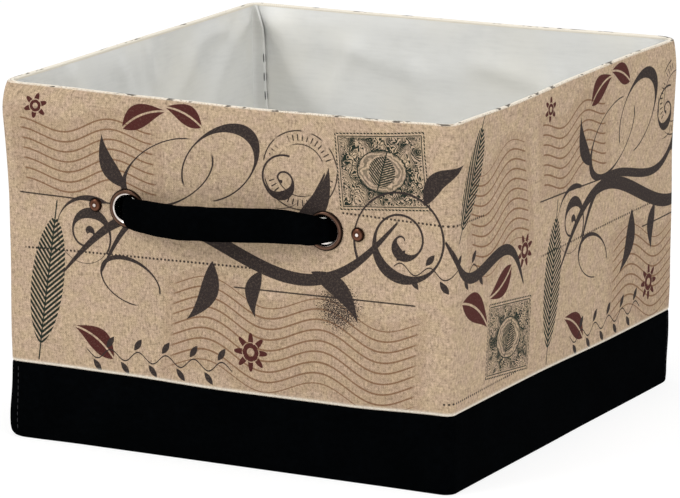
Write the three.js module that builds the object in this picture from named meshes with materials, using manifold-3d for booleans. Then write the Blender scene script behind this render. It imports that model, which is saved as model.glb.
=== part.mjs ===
import * as THREE from 'three';
import Module from 'manifold-3d';
import { mergeVertices } from 'three/addons/utils/BufferGeometryUtils.js';

// A cloth storage basket, stiffened with boards, with one strap handle on its front wall.
// Millimetres, +Z up, front wall at -Y, origin on the floor under the middle of the basket.

// Body
const basketWidth = 343;
const basketDepth = 356;
const basketHeight = 254;
const cornerRadius = 10; // upright corners, seen from above
const rimCornerGrowth = 4; // how much rounder the corners get at the rim
const rimCornerHeight = 6;
const baseCornerGrowth = 8; // and at the floor
const baseCornerHeight = 10;
const rimRoll = 0.9; // rounding where the canvas turns over the boards
const baseFillet = 2.5; // rounding where the band turns under the bottom
const bandHeight = 54;
const bandLip = 8; // how far the band turns in under the bottom

// Layers of the walls, from outside in
const canvasThickness = 1;
const boardThickness = 2;
const boardRimGap = 2; // the turned rim can settle a little between the corners
const liningThickness = 0.7;
const fitGap = 0.3; // between pieces that touch
const seamThickness = 1.6; // seam fins in the corners of the lining
const seamReach = 4;

// Loose base insert: a board in a glued cloth cover
const insertBoardThickness = 2.5;
const insertSideGap = 1.2;
const insertPassGap = 0.5; // insert to the seam fins and to the handle's ends as it is lifted
const insertMargin = 25; // cloth turned in under the board

// Eyelets and rivets of the handle
const eyeletDrop = 81.5; // eyelet centres below the rim
const eyeletSpacing = 153;
const eyeletRadius = 13.75;
const eyeletBore = 9.25;
const eyeletWall = 0.5;
const eyeletRise = 1.5;
const washerRadius = 12.5;
const washerThickness = 0.8;
const rollRadius = 11.2; // end of the barrel, rolled over the washer
const rollThickness = 0.6;
const rivetOffset = 25; // rivet to its eyelet, outward
const rivetRadius = 5;
const rivetRise = 2.2;
const rivetPost = 1.5;
const rivetBackRadius = 4.5;
const rivetBackRise = 1.4;
const rivetSocketDepth = 0.8;

// Strap handle: a stuffed canvas tube, flat where it goes through the eyelets and is riveted
const handleBow = 23; // middle of the handle in front of the wall
const handleAxisOut = 11; // line about which the handle swings, in front of the wall
const handleCut = 13; // eyelet centre to the place where the handle starts to swing
const handleTall = 23.5;
const handleThick = 11;
const handleEndTall = 18;
const handleEndThick = 9;
const handleCoverThickness = 1.6;
const coreEndGap = 2;
const strapEase = 0.5; // strap's cloth to its core, and to the lining and metal that it lies on
const boreTall = 14;
const boreThick = 4.6;
const tailTall = 17;
const tailThickness = 2.4;
const tailOverhang = 9; // tail past its rivet

// Facets
const cornerSteps = 8;
const sheetCornerSteps = 4;
const roundSteps = 24;
const rollSteps = 3;
const sectionSteps = 16;
const strapSteps = 18;
const tailSteps = 18;
const sectionPower = 0.8; // 1 is an oval, less is squarer

// Places that follow from the sizes above
const boardInset = canvasThickness + fitGap;
const liningInset = boardInset + boardThickness + fitGap;
const wallThickness = liningInset + liningThickness;
const capUnderside = basketHeight - canvasThickness;
const liningFloor = canvasThickness + fitGap;
const floorTop = liningFloor + liningThickness + fitGap;
const eyeletHeight = basketHeight - eyeletDrop;
const eyeletX = eyeletSpacing / 2;
const rivetX = eyeletX + rivetOffset;
const barrelRadius = eyeletBore + eyeletWall;
const eyeletHole = barrelRadius + fitGap;
const rivetHole = rivetPost + fitGap;
const washerReach = fitGap + washerThickness + fitGap + rollThickness;
const tailDepth = wallThickness + strapEase + tailThickness / 2;
const washerCrossing = tailDepth + washerReach;
const rivetBackFace = tailDepth + tailThickness / 2 + fitGap;
const handleEndDepth = Math.max(washerCrossing + tailThickness / 2, rivetBackFace + rivetBackRise);
const frontFace = -basketDepth / 2;

// Finishes of the real materials
const finishes = {
  canvas: { color: 0xb29b83, roughness: 0.95, metalness: 0 },
  blackCloth: { color: 0x08090b, roughness: 0.92, metalness: 0 },
  lining: { color: 0xd0d0c9, roughness: 0.9, metalness: 0 },
  board: { color: 0x8d8271, roughness: 0.9, metalness: 0 },
  stuffing: { color: 0xcfc9bc, roughness: 1, metalness: 0 },
  nickel: { color: 0xb8a498, roughness: 0.22, metalness: 1 },
  copper: { color: 0x7d4b34, roughness: 0.35, metalness: 1 },
};

const basket = new THREE.Group();

function addPiece(name, geometry, finish, parent = basket) {
  const mesh = new THREE.Mesh(geometry, new THREE.MeshStandardMaterial(finishes[finish]));
  mesh.name = name;
  parent.add(mesh);
  return mesh;
}

// Solids are joined and cut as manifolds.
const wasm = await Module();
wasm.setup();

function bare(geometry) {
  const copy = geometry.clone();
  copy.deleteAttribute('normal');
  copy.deleteAttribute('uv');
  return mergeVertices(copy, fitGap / 1000);
}

function solid(geometry) {
  const merged = bare(geometry);
  const vertProperties = Float32Array.from(merged.attributes.position.array);
  const triVerts = Uint32Array.from(merged.index.array);
  return new wasm.Manifold(new wasm.Mesh({ numProp: 3, vertProperties, triVerts }));
}

function surface(manifold) {
  const mesh = manifold.getMesh();
  const geometry = new THREE.BufferGeometry();
  geometry.setAttribute('position', new THREE.BufferAttribute(Float32Array.from(mesh.vertProperties), 3));
  geometry.setIndex(new THREE.BufferAttribute(Uint32Array.from(mesh.triVerts), 1));
  geometry.computeVertexNormals();
  return geometry;
}

function cut(geometry, ...tools) {
  return surface(tools.reduce((body, tool) => body.subtract(solid(tool)), solid(geometry)));
}

// Turns a closed geometry's faces outwards.
function facingOut(geometry) {
  const { array: at } = geometry.attributes.position;
  const { array: index } = geometry.index;
  const [a, b, c] = [new THREE.Vector3(), new THREE.Vector3(), new THREE.Vector3()];
  let volume = 0;
  for (let i = 0; i < index.length; i += 3) {
    [a, b, c].forEach((corner, k) => corner.fromArray(at, 3 * index[i + k]));
    volume += a.dot(b.cross(c));
  }
  if (volume < 0) index.reverse();
  geometry.computeVertexNormals();
  return geometry;
}

// A skin over rings of points: a closed loop of rings, or a tube with both ends capped.
function loft(rings, closed) {
  const count = rings[0].length;
  const points = rings.flat();
  const index = [];
  const steps = closed ? rings.length : rings.length - 1;
  for (let i = 0; i < steps; i++) {
    for (let j = 0; j < count; j++) {
      const [here, next] = [i * count, ((i + 1) % rings.length) * count];
      const k = (j + 1) % count;
      index.push(here + j, next + j, next + k, here + j, next + k, here + k);
    }
  }
  if (!closed) {
    for (const [ring, turn] of [[0, 1], [rings.length - 1, 0]]) {
      const middle = rings[ring].reduce((sum, p) => sum.add(p), new THREE.Vector3()).divideScalar(count);
      points.push(middle);
      for (let j = 0; j < count; j++) {
        const pair = [ring * count + j, ring * count + ((j + 1) % count)];
        index.push(points.length - 1, pair[1 - turn], pair[turn]);
      }
    }
  }
  const geometry = new THREE.BufferGeometry().setFromPoints(points);
  geometry.setIndex(new THREE.BufferAttribute(Uint32Array.from(index), 1));
  return facingOut(geometry);
}

// Stations round the basket's outline: the ends and the steps of its four corner arcs.
const stations = [];
for (let corner = 0; corner < 4; corner++) {
  const middle = ((corner + 0.5) * Math.PI) / 2;
  for (let step = 0; step <= cornerSteps; step++) {
    const angle = ((corner + step / cornerSteps) * Math.PI) / 2;
    stations.push({ sideX: Math.sign(Math.cos(middle)), sideY: Math.sign(Math.sin(middle)), angle });
  }
}

function roundShare(share) {
  return 1 - Math.sqrt(1 - Math.min(1, Math.max(0, share)) ** 2);
}

function cornerRadiusAt(z) {
  const rimShare = (z - basketHeight + rimCornerHeight) / rimCornerHeight;
  const baseShare = (baseCornerHeight - z) / baseCornerHeight;
  return cornerRadius + rimCornerGrowth * roundShare(rimShare) + baseCornerGrowth * roundShare(baseShare);
}

function outlinePoint(station, inset, z) {
  const radius = cornerRadiusAt(z);
  const x = station.sideX * (basketWidth / 2 - radius) + (radius - inset) * Math.cos(station.angle);
  const y = station.sideY * (basketDepth / 2 - radius) + (radius - inset) * Math.sin(station.angle);
  return new THREE.Vector3(x, y, z);
}

// Carries a closed profile of [inset, height] pairs round the basket.
function wallRing(profile) {
  return loft(stations.map((station) => profile.map(([inset, z]) => outlinePoint(station, inset, z))), true);
}

// Points of a quarter circle, from the angle `from` to 90 degrees further on or back.
function quarter(inset, z, radius, from, way = 1) {
  return Array.from({ length: rollSteps + 1 }, (_, i) => {
    const angle = THREE.MathUtils.degToRad(from + (way * 90 * i) / rollSteps);
    return [inset + radius * Math.cos(angle), z + radius * Math.sin(angle)];
  });
}

// Heights between two levels, closer together where the corners change their radius.
function levels(from, to) {
  return Array.from({ length: rollSteps + 1 }, (_, i) => from + ((to - from) * i) / rollSteps);
}

// A rod across the front wall, for holes.
function frontRod(radius, x) {
  const rod = new THREE.CylinderGeometry(radius, radius, 4 * wallThickness, roundSteps);
  return rod.translate(x, frontFace, eyeletHeight);
}

function cutHandleHoles(geometry) {
  const rods = [-1, 1].flatMap((side) => [
    frontRod(eyeletHole, side * eyeletX),
    frontRod(rivetHole, side * rivetX),
  ]);
  return cut(geometry, ...rods);
}

// Outer canvas: the printed sleeve, turned over the rim, and the black band below it.
function printedSleeve() {
  const bottom = bandHeight + fitGap;
  const cornerStart = basketHeight - rimCornerHeight;
  const outside = [bottom, ...levels(cornerStart, basketHeight - rimRoll).slice(0, -1)].map((z) => [0, z]);
  const inside = levels(capUnderside, cornerStart).map((z) => [canvasThickness, z]);
  const profile = [
    ...outside,
    ...quarter(rimRoll, basketHeight - rimRoll, rimRoll, 180, -1),
    ...quarter(wallThickness - rimRoll, basketHeight - rimRoll, rimRoll, 90, -1),
    [wallThickness, capUnderside],
    ...inside,
    [canvasThickness, bottom],
  ];
  return cutHandleHoles(wallRing(profile));
}

function blackBand() {
  const innerFillet = baseFillet - canvasThickness;
  return wallRing([
    [bandLip, 0],
    ...quarter(baseFillet, baseFillet, baseFillet, 270, -1),
    ...levels(baseFillet, baseCornerHeight).slice(1).map((z) => [0, z]),
    [0, bandHeight],
    [canvasThickness, bandHeight],
    ...levels(baseCornerHeight, baseFillet).slice(0, -1).map((z) => [canvasThickness, z]),
    ...quarter(baseFillet, baseFillet, innerFillet, 180),
    [bandLip, canvasThickness],
  ]);
}

function roundedRectangle(width, height, radius, bottom = -height / 2) {
  const shape = new THREE.Shape();
  const [side, top] = [width / 2 - radius, bottom + height - radius];
  shape.absarc(side, bottom + radius, radius, -Math.PI / 2, 0, false);
  shape.absarc(side, top, radius, 0, Math.PI / 2, false);
  shape.absarc(-side, top, radius, Math.PI / 2, Math.PI, false);
  shape.absarc(-side, bottom + radius, radius, Math.PI, 1.5 * Math.PI, false);
  shape.closePath();
  return shape;
}

function extruded(outline, depth) {
  return new THREE.ExtrudeGeometry(outline, { depth, bevelEnabled: false, curveSegments: sheetCornerSteps });
}

// A flat sheet lying at height z, inset from the basket's outline.
function floorSheet(inset, radius, z, thickness, frontTrim = 0) {
  const outline = roundedRectangle(basketWidth - 2 * inset, basketDepth - 2 * inset - frontTrim, radius);
  return extruded(outline, thickness).translate(0, frontTrim / 2, z);
}

// A flat wall sheet standing at -Y, its outer face `inset` inside the basket's outline.
function wallSheet(wall, inset, thickness, corner, spanTrim, bottom, top) {
  const span = wall.span - 2 * (cornerRadius + spanTrim);
  const sheet = extruded(roundedRectangle(span, top - bottom, corner, bottom), thickness);
  sheet.rotateX(Math.PI / 2).translate(0, inset + thickness - wall.reach, 0);
  return wall.carriesHandle ? cutHandleHoles(sheet) : sheet;
}

// Corner of the lining: the two panels' edges round the corner, with their seam as a fin.
function cornerSeam() {
  const outer = cornerRadius - liningInset;
  const inner = outer - liningThickness;
  const half = Math.asin(seamThickness / 2 / inner);
  const tip = (inner * Math.cos(half) - seamReach + seamThickness / 2) / Math.SQRT2;
  const shape = new THREE.Shape();
  shape.absarc(0, 0, outer, 0, Math.PI / 2, false);
  shape.absarc(0, 0, inner, Math.PI / 2, Math.PI / 4 + half, true);
  shape.absarc(tip, tip, seamThickness / 2, 0.75 * Math.PI, 1.75 * Math.PI, false);
  shape.absarc(0, 0, inner, Math.PI / 4 - half, 0, true);
  shape.closePath();
  return extruded(shape, capUnderside - fitGap - floorTop);
}

addPiece('printed_sleeve', printedSleeve(), 'canvas');
addPiece('black_band', blackBand(), 'blackCloth');

const panelInset = bandLip + fitGap;
const bottomRadius = cornerRadius + baseCornerGrowth - panelInset;
addPiece('bottom_panel', floorSheet(panelInset, bottomRadius, 0, canvasThickness), 'blackCloth');

const liningBottomInset = wallThickness + fitGap;
const liningBottomRadius = cornerRadius - liningBottomInset;
const liningBottom = floorSheet(liningBottomInset, liningBottomRadius, liningFloor, liningThickness);
addPiece('lining_bottom', liningBottom, 'lining');

const walls = [
  { name: 'front', turn: 0, span: basketWidth, reach: basketDepth / 2, carriesHandle: true },
  { name: 'right', turn: 90, span: basketDepth, reach: basketWidth / 2 },
  { name: 'back', turn: 180, span: basketWidth, reach: basketDepth / 2 },
  { name: 'left', turn: 270, span: basketDepth, reach: basketWidth / 2 },
];
const boardCorner = Math.max(rimCornerGrowth, baseCornerGrowth);
const boardTop = capUnderside - boardRimGap;
const liningTop = capUnderside - fitGap;
for (const wall of walls) {
  const group = new THREE.Group();
  group.rotation.z = THREE.MathUtils.degToRad(wall.turn);
  basket.add(group);
  const board = wallSheet(wall, boardInset, boardThickness, boardCorner, 0, baseFillet, boardTop);
  addPiece(`${wall.name}_board`, board, 'board', group);
  const lining = wallSheet(
    wall, liningInset, liningThickness, liningThickness, fitGap, liningFloor, liningTop,
  );
  addPiece(`lining_${wall.name}`, lining, 'lining', group);
}

const corners = [
  { name: 'back_right', turn: 0, x: 1, y: 1 },
  { name: 'back_left', turn: 90, x: -1, y: 1 },
  { name: 'front_left', turn: 180, x: -1, y: -1 },
  { name: 'front_right', turn: 270, x: 1, y: -1 },
];
for (const { name, turn, x, y } of corners) {
  const seam = addPiece(`lining_seam_${name}`, cornerSeam(), 'lining');
  seam.rotation.z = THREE.MathUtils.degToRad(turn);
  seam.position.set(x * (basketWidth / 2 - cornerRadius), y * (basketDepth / 2 - cornerRadius), floorTop);
}

// Base insert. It clears the seam fins, and at the front the ends of the handle, when it is lifted out.
const insertInset = wallThickness + insertSideGap;
const insertFrontTrim = handleEndDepth - wallThickness + insertPassGap - insertSideGap;
const finTip = Math.SQRT2 * cornerRadius - (cornerRadius - wallThickness) + seamReach;
const insertCorner = (finTip + insertPassGap - Math.SQRT2 * insertInset) / (Math.SQRT2 - 1);
const insertPocket = insertBoardThickness + 2 * fitGap;

function insertSheet(inset, z, thickness) {
  const radius = Math.max(liningThickness, insertCorner - inset);
  return floorSheet(insertInset + inset, radius, z, thickness, insertFrontTrim);
}

function insertCover() {
  const pocketFloor = floorTop + liningThickness;
  const block = insertSheet(0, floorTop, insertPocket + 2 * liningThickness);
  const pocket = insertSheet(liningThickness, pocketFloor, insertPocket);
  const window = insertSheet(insertMargin, floorTop - liningThickness, 2 * liningThickness + fitGap);
  return cut(block, pocket, window);
}

addPiece('insert_cover', insertCover(), 'lining');
const insertBoardFloor = floorTop + liningThickness + fitGap;
const insertBoard = insertSheet(liningThickness + fitGap, insertBoardFloor, insertBoardThickness);
addPiece('insert_board', insertBoard, 'board');

// Turned metal pieces. Their profiles hold [radius, distance in front of the wall] pairs.
function turned(profile) {
  const points = profile.map(([radius, out]) => new THREE.Vector2(radius, -out));
  return facingOut(bare(new THREE.LatheGeometry(points, roundSteps)));
}

function eyelet() {
  const rolled = (eyeletRadius - eyeletBore) / 2;
  const crown = Array.from({ length: 2 * rollSteps + 1 }, (_, i) => {
    const angle = Math.PI * (1 - i / (2 * rollSteps));
    return [eyeletBore + rolled + rolled * Math.cos(angle), fitGap + eyeletRise * Math.sin(angle)];
  });
  const rollFace = wallThickness + washerReach - rollThickness;
  return turned([
    [eyeletBore, -wallThickness - washerReach],
    ...crown,
    [barrelRadius, fitGap],
    [barrelRadius, -rollFace],
    [rollRadius, -rollFace],
    [rollRadius, -rollFace - rollThickness / 2],
    [rollRadius - rollThickness / 2, -wallThickness - washerReach],
    [eyeletBore, -wallThickness - washerReach],
  ]);
}

function eyeletWasher() {
  const face = wallThickness + fitGap;
  return turned([
    [eyeletHole, -face],
    [washerRadius, -face],
    [washerRadius, -face - washerThickness / 2],
    [washerRadius - washerThickness / 2, -face - washerThickness],
    [eyeletHole, -face - washerThickness],
    [eyeletHole, -face],
  ]);
}

function rivetCap() {
  const postEnd = rivetBackFace + rivetSocketDepth - fitGap;
  const dome = Array.from({ length: 2 * rollSteps }, (_, i) => {
    const angle = (Math.PI * i) / (4 * rollSteps);
    return [rivetRadius * Math.cos(angle), fitGap + rivetRise * Math.sin(angle)];
  });
  const post = [[0, -postEnd], [rivetPost, -postEnd], [rivetPost, fitGap]];
  return turned([...post, ...dome, [0, fitGap + rivetRise]]);
}

function rivetBack() {
  const socketFloor = rivetBackFace + rivetSocketDepth;
  const crown = rivetBackFace + rivetBackRise;
  return turned([
    [0, -socketFloor],
    [rivetHole, -socketFloor],
    [rivetHole, -rivetBackFace],
    [rivetBackRadius, -rivetBackFace],
    [rivetBackRadius, -rivetBackFace - rivetBackRise / 2],
    [rivetBackRadius - rivetBackRise / 2, -crown],
    [0, -crown],
  ]);
}

// One section of the strap: an oval in the upright plane that holds `across`.
function strapSection(x, out, across, tall, thick) {
  return Array.from({ length: sectionSteps }, (_, i) => {
    const angle = (2 * Math.PI * i) / sectionSteps;
    const [c, s] = [Math.cos(angle), Math.sin(angle)];
    const width = (Math.sign(c) * Math.abs(c) ** sectionPower * thick) / 2;
    const height = (Math.sign(s) * Math.abs(s) ** sectionPower * tall) / 2;
    return new THREE.Vector3(x + across.x * width, frontFace - out + across.y * width, eyeletHeight + height);
  });
}

// Handle between the places where it leaves its fixed ends. `trim` makes it thinner all round.
function strapBetween(reach, trim) {
  const rings = Array.from({ length: strapSteps + 1 }, (_, i) => {
    const share = (2 * i) / strapSteps - 1;
    const x = reach * share;
    const along = Math.min(1, Math.abs(x) / (eyeletX - handleCut));
    const fullness = Math.cos((along * Math.PI) / 2) ** 2;
    const out = handleAxisOut + (handleBow - handleAxisOut) * fullness;
    const slope = Math.sign(x) * (handleBow - handleAxisOut) * Math.sin(along * Math.PI) * (Math.PI / 2);
    const across = new THREE.Vector2(-slope / (eyeletX - handleCut), 1).normalize();
    const swell = Math.sqrt(fullness);
    const tall = handleEndTall + (handleTall - handleEndTall) * swell - 2 * trim;
    const thick = handleEndThick + (handleThick - handleEndThick) * swell - 2 * trim;
    return strapSection(x, out, across, tall, thick);
  });
  return loft(rings, false);
}

// Fixed end of the handle: from its tail behind the wall, over the washer and out through the eyelet.
function handleTail(side) {
  const flat = { tall: tailTall, thick: tailThickness };
  const pinched = { tall: boreTall, thick: boreThick };
  const full = { tall: handleEndTall, thick: handleEndThick };
  const route = [
    { along: rivetOffset + tailOverhang, out: -tailDepth, ...flat },
    { along: rivetOffset, out: -tailDepth, ...flat },
    { along: washerRadius + 2 * tailThickness, out: -tailDepth, ...flat },
    { along: rollRadius, out: -washerCrossing, ...flat },
    { along: eyeletBore - tailThickness, out: -washerCrossing, ...flat },
    { along: boreThick / 4, out: -wallThickness, ...pinched },
    { along: -boreThick / 4, out: eyeletRise, ...pinched },
    { along: -handleCut / 2, out: handleAxisOut - handleEndThick / 4, ...full },
    { along: -handleCut, out: handleAxisOut, ...full },
  ];
  const curve = new THREE.CatmullRomCurve3(
    route.map(({ along, out }, i) => {
      const trim = i === route.length - 1 ? fitGap : 0;
      return new THREE.Vector3(side * (eyeletX + along + trim), out, 0);
    }),
  );
  const rings = Array.from({ length: tailSteps + 1 }, (_, i) => {
    const share = i / tailSteps;
    const place = share * (route.length - 1);
    const [before, after] = [route[Math.floor(place)], route[Math.ceil(place)]];
    const blend = place - Math.floor(place);
    const point = curve.getPoint(share);
    const heading = curve.getTangent(share);
    if (i === tailSteps) heading.y = 0;
    const across = new THREE.Vector2(heading.y, heading.x).normalize();
    const tall = before.tall + (after.tall - before.tall) * blend;
    const thick = before.thick + (after.thick - before.thick) * blend;
    return strapSection(point.x, point.y, across, tall, thick);
  });
  return cut(loft(rings, false), frontRod(rivetHole, side * rivetX));
}

for (const [name, side] of [['left', -1], ['right', 1]]) {
  const fittings = [
    ['eyelet', eyelet(), 'nickel', eyeletX],
    ['eyelet_washer', eyeletWasher(), 'nickel', eyeletX],
    ['rivet_cap', rivetCap(), 'copper', rivetX],
    ['rivet_back', rivetBack(), 'copper', rivetX],
  ];
  for (const [fitting, geometry, finish, x] of fittings) {
    addPiece(`${fitting}_${name}`, geometry, finish).position.set(side * x, frontFace, eyeletHeight);
  }
  addPiece(`handle_tail_${name}`, handleTail(side), 'blackCloth');
}

const handleReach = eyeletX - handleCut;
const coverBore = strapBetween(handleReach + coreEndGap, handleCoverThickness);
addPiece('handle_cover', cut(strapBetween(handleReach, 0), coverBore), 'blackCloth');
addPiece('handle_core', strapBetween(handleReach - coreEndGap, handleCoverThickness + strapEase), 'stuffing');

export default basket;
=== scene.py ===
"""A cloth storage basket: printed canvas over boards, a black band, a loose lining and a strap handle.

The script loads the basket's fixed frame, makes the pieces with one operator for each group of them, gives
the frame's own insert board its finish, and sets the stage. Lengths are in metres, +Z is up and the front
faces -Y.
"""

import math

import bpy
import numpy as np
from bpy.props import FloatProperty, FloatVectorProperty, IntProperty, PointerProperty
from mathutils import Matrix, Vector


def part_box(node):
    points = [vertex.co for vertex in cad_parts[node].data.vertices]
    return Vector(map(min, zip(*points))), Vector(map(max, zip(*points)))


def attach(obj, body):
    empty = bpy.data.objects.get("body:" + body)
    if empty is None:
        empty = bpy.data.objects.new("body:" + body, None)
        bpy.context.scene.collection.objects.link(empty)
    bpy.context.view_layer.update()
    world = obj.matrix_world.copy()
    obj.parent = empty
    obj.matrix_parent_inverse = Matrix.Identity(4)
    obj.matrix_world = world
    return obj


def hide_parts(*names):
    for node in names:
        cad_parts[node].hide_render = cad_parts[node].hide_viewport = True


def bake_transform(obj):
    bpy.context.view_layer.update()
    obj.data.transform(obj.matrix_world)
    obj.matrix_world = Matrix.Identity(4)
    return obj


bl_info = {
    "name": "Cloth storage basket",
    "version": (1, 0, 0),
    "blender": (4, 5, 0),
    "location": "View3D > Sidebar > Basket",
    "description": "Makes a printed canvas basket with a black band, a loose lining and a strap handle",
    "category": "Add Mesh",
}

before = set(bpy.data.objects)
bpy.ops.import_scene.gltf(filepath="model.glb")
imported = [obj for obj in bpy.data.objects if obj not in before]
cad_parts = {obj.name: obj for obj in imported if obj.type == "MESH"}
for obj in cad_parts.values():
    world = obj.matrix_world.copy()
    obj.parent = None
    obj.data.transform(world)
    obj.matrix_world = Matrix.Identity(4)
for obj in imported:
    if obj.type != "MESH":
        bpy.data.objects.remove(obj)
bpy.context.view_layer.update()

# Lowest and highest corners of the frame's pieces, which the cloth and metal are made to
SLEEVE_LOW, SLEEVE_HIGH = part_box("printed_sleeve")
BAND_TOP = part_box("black_band")[1].z
PANEL_LOW, PANEL_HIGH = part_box("bottom_panel")
EYELET_LOW, EYELET_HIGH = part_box("eyelet_right")
WASHER_LOW, WASHER_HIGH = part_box("eyelet_washer_right")
CAP_LOW, CAP_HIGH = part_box("rivet_cap_right")
BACK_LOW, BACK_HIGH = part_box("rivet_back_right")
TAIL_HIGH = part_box("handle_tail_right")[1]
INSERT_LOW, INSERT_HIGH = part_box("insert_cover")
BOARD_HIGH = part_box("front_board")[1]
WIDTH = SLEEVE_HIGH.x - SLEEVE_LOW.x
DEPTH = SLEEVE_HIGH.y - SLEEVE_LOW.y
HEIGHT = SLEEVE_HIGH.z
FRONT = SLEEVE_LOW.y
EYELET_X = (EYELET_LOW.x + EYELET_HIGH.x) / 2
RIVET_X = (CAP_LOW.x + CAP_HIGH.x) / 2
HANDLE_Z = (EYELET_LOW.z + EYELET_HIGH.z) / 2


def linear(red, green, blue):
    """A colour on a screen's 0 to 255 scale, as the renderer's linear values."""
    shares = (red / 255, green / 255, blue / 255)
    return tuple(s / 12.92 if s <= 0.04045 else ((s + 0.055) / 1.055) ** 2.4 for s in shares)


def amount(name, description, default, **kind):
    return FloatProperty(name=name, description=description, default=default, **kind)


def length(name, description, default):
    return amount(name, description, default, unit="LENGTH", precision=5)


def number(name, description, default):
    return IntProperty(name=name, description=description, default=default)


def colour(name, description, *screen):
    return FloatVectorProperty(
        name=name, description=description, default=linear(*screen), size=3, subtype="COLOR", min=0, max=1
    )


class BasketBody(bpy.types.PropertyGroup):
    corner_radius: length("Corner radius", "Upright corners, seen from above", 0.006)
    rim_corner_height: length("Rim corner height", "Height of the corners' rounding at the rim", 0.010)
    base_corner_height: length("Base corner height", "Height of the corners' rounding at the floor", 0.008)
    canvas: length("Canvas", "Thickness of the canvas", 0.001)
    lining: length("Lining", "Thickness of the lining", 0.0007)
    board: length("Board", "Thickness of the stiffening boards", 0.002)
    gap: length("Gap", "Gap between pieces that touch", 0.0003)
    rim_roll: length("Rim roll", "Rounding of the canvas where it turns over the rim", 0.0013)
    rim_thickness: length("Rim thickness", "Thickness of the wall at the rim", 0.0044)
    rim_hem: length("Rim hem", "How far the canvas goes down inside the rim", 0.0007)
    seam_roll: length("Seam roll", "Rounding of the cloth's edges at the band's seam", 0.0013)
    base_fillet: length("Base fillet", "Rounding where the band turns under", 0.0013)
    flare_height: length("Flare height", "Height below the rim at which the corners start to lean", 0.085)
    flare_width: length("Flare width", "Width beside a corner that leans with it", 0.055)
    wall_wave: length("Wall wave", "Unevenness of the canvas over the boards", 0.0007)
    seam_reach: length("Seam reach", "Width of the lining's seam allowances in the corners", 0.0082)
    lining_slack: length("Lining slack", "How far the folds of the loose lining stand off the boards", 0.0042)
    wall_columns: number("Wall columns", "Faces across each wall", 70)
    corner_columns: number("Corner columns", "Faces round each corner", 8)
    cloth_step: length("Cloth step", "Height of the faces of the cloth", 0.0045)


class BasketHandle(bpy.types.PropertyGroup):
    axis_out: length("Axis out", "Line about which the handle swings, in front of the wall", 0.011)
    cut: length("Cut", "Eyelet centre to the place where the handle starts to swing", 0.013)
    bow: length("Bow", "Middle of the handle in front of the wall", 0.023)
    tall: length("Height", "Height of the stuffed strap in the middle", 0.0235)
    thick: length("Thickness", "Thickness of the stuffed strap in the middle", 0.0125)
    end_tall: length("End height", "Height of the strap where it leaves the eyelets", 0.0214)
    end_thick: length("End thickness", "Thickness of the strap where it leaves the eyelets", 0.0098)
    bore_tall: length("Bore height", "Height of the strap inside an eyelet", 0.0168)
    bore_thick: length("Bore thickness", "Thickness of the strap inside an eyelet", 0.0062)
    tail_tall: length("Tail height", "Height of the strap's flat ends", 0.017)
    tail_thick: length("Tail thickness", "Thickness of the strap's flat ends", 0.0024)
    step: length("Step", "Length of the faces along the strap", 0.0018)


class BasketFittings(bpy.types.PropertyGroup):
    bore: length("Eyelet bore", "Inner radius of an eyelet", 0.00925)
    wall: length("Eyelet wall", "Thickness of an eyelet's sheet metal", 0.0005)
    roll_radius: length("Roll radius", "Radius of the end that is rolled over the washer", 0.0112)
    rivet_post: length("Rivet post", "Radius of a rivet's post", 0.0015)
    stitch: length("Stitch", "Length of a stitch on the outside", 0.0032)
    stitch_gap: length("Stitch gap", "Gap between two stitches", 0.0014)
    thread: length("Thread", "Thickness of the sewing thread", 0.00055)
    beside: length("Beside", "Distance of the band's stitches from the start of its corners", 0.0005)


class BasketFinish(bpy.types.PropertyGroup):
    canvas: colour("Canvas", "Unprinted canvas", 184, 160, 137)
    # Colour of the highlight painted on the canvas's folds at the rim and above the band
    rim: colour("Rim", "Pale canvas where it is folded over the rim", 238, 232, 218)
    pen_ink: colour("Pen ink", "Dark brown-grey ink of the flourishes", 50, 42, 40)
    wave_ink: colour("Wave ink", "Brown ink of the wavy lines", 120, 86, 60)
    stamp_ink: colour("Stamp ink", "Green-black ink of the hatched stamps", 28, 38, 31)
    leaf_ink: colour("Leaf ink", "Red-brown ink of the leaves and rosettes", 76, 36, 32)
    rule_ink: colour("Rule ink", "Black ink of the dotted rules", 46, 38, 34)
    black: colour("Black cloth", "Black cotton of the band and the handle", 3, 4, 5)
    black_thread: colour("Black thread", "Sewing thread on the black cloth", 34, 34, 37)
    lining: colour("Lining", "Off-white lining cloth", 223, 223, 220)
    lining_thread: colour("Lining thread", "Sewing thread on the lining", 92, 93, 94)
    board: colour("Board", "Grey-brown chipboard", 141, 130, 113)
    nickel: colour("Nickel", "Warm nickel of the eyelets and washers", 106, 80, 66)
    copper: colour("Copper", "Antique copper of the rivets", 108, 72, 56)
    pattern_repeat: number("Repeats", "How often the print repeats round the basket", 3)


class BasketStage(bpy.types.PropertyGroup):
    azimuth: amount("Azimuth", "Camera's turn from the front", math.radians(27.49), subtype="ANGLE")
    elevation: amount("Elevation", "Camera's height angle", math.radians(12.82), subtype="ANGLE")
    camera_place: FloatVectorProperty(
        name="Camera place", description="Where the camera stands",
        default=(1.5006, -2.8932, 0.8577), subtype="TRANSLATION",
    )
    lens: amount("Lens", "Focal length in millimetres", 248.03)
    ambient: amount("Ambient", "Light from all round", 0.66)
    key_watts: amount("Key", "Power of the soft lamp at the front left", 56)
    top_watts: amount("Top", "Power of the soft lamp overhead", 22)
    fill_watts: amount("Fill", "Power of the soft lamp at the right", 32)


# Selection and mesh helpers


def select_only(*pieces):
    bpy.ops.object.select_all(action="DESELECT")
    for piece in pieces:
        piece.select_set(True)
    bpy.context.view_layer.objects.active = pieces[0]


def primitive(add, name, **values):
    """Adds a primitive under its own name, with its place and turn in its mesh, and nothing else selected."""
    bpy.ops.object.select_all(action="DESELECT")
    add(**values)
    piece = bpy.context.active_object
    piece.name = piece.data.name = name
    select_only(piece)
    bpy.ops.object.transform_apply(location=True, rotation=True, scale=True)
    return piece


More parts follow.
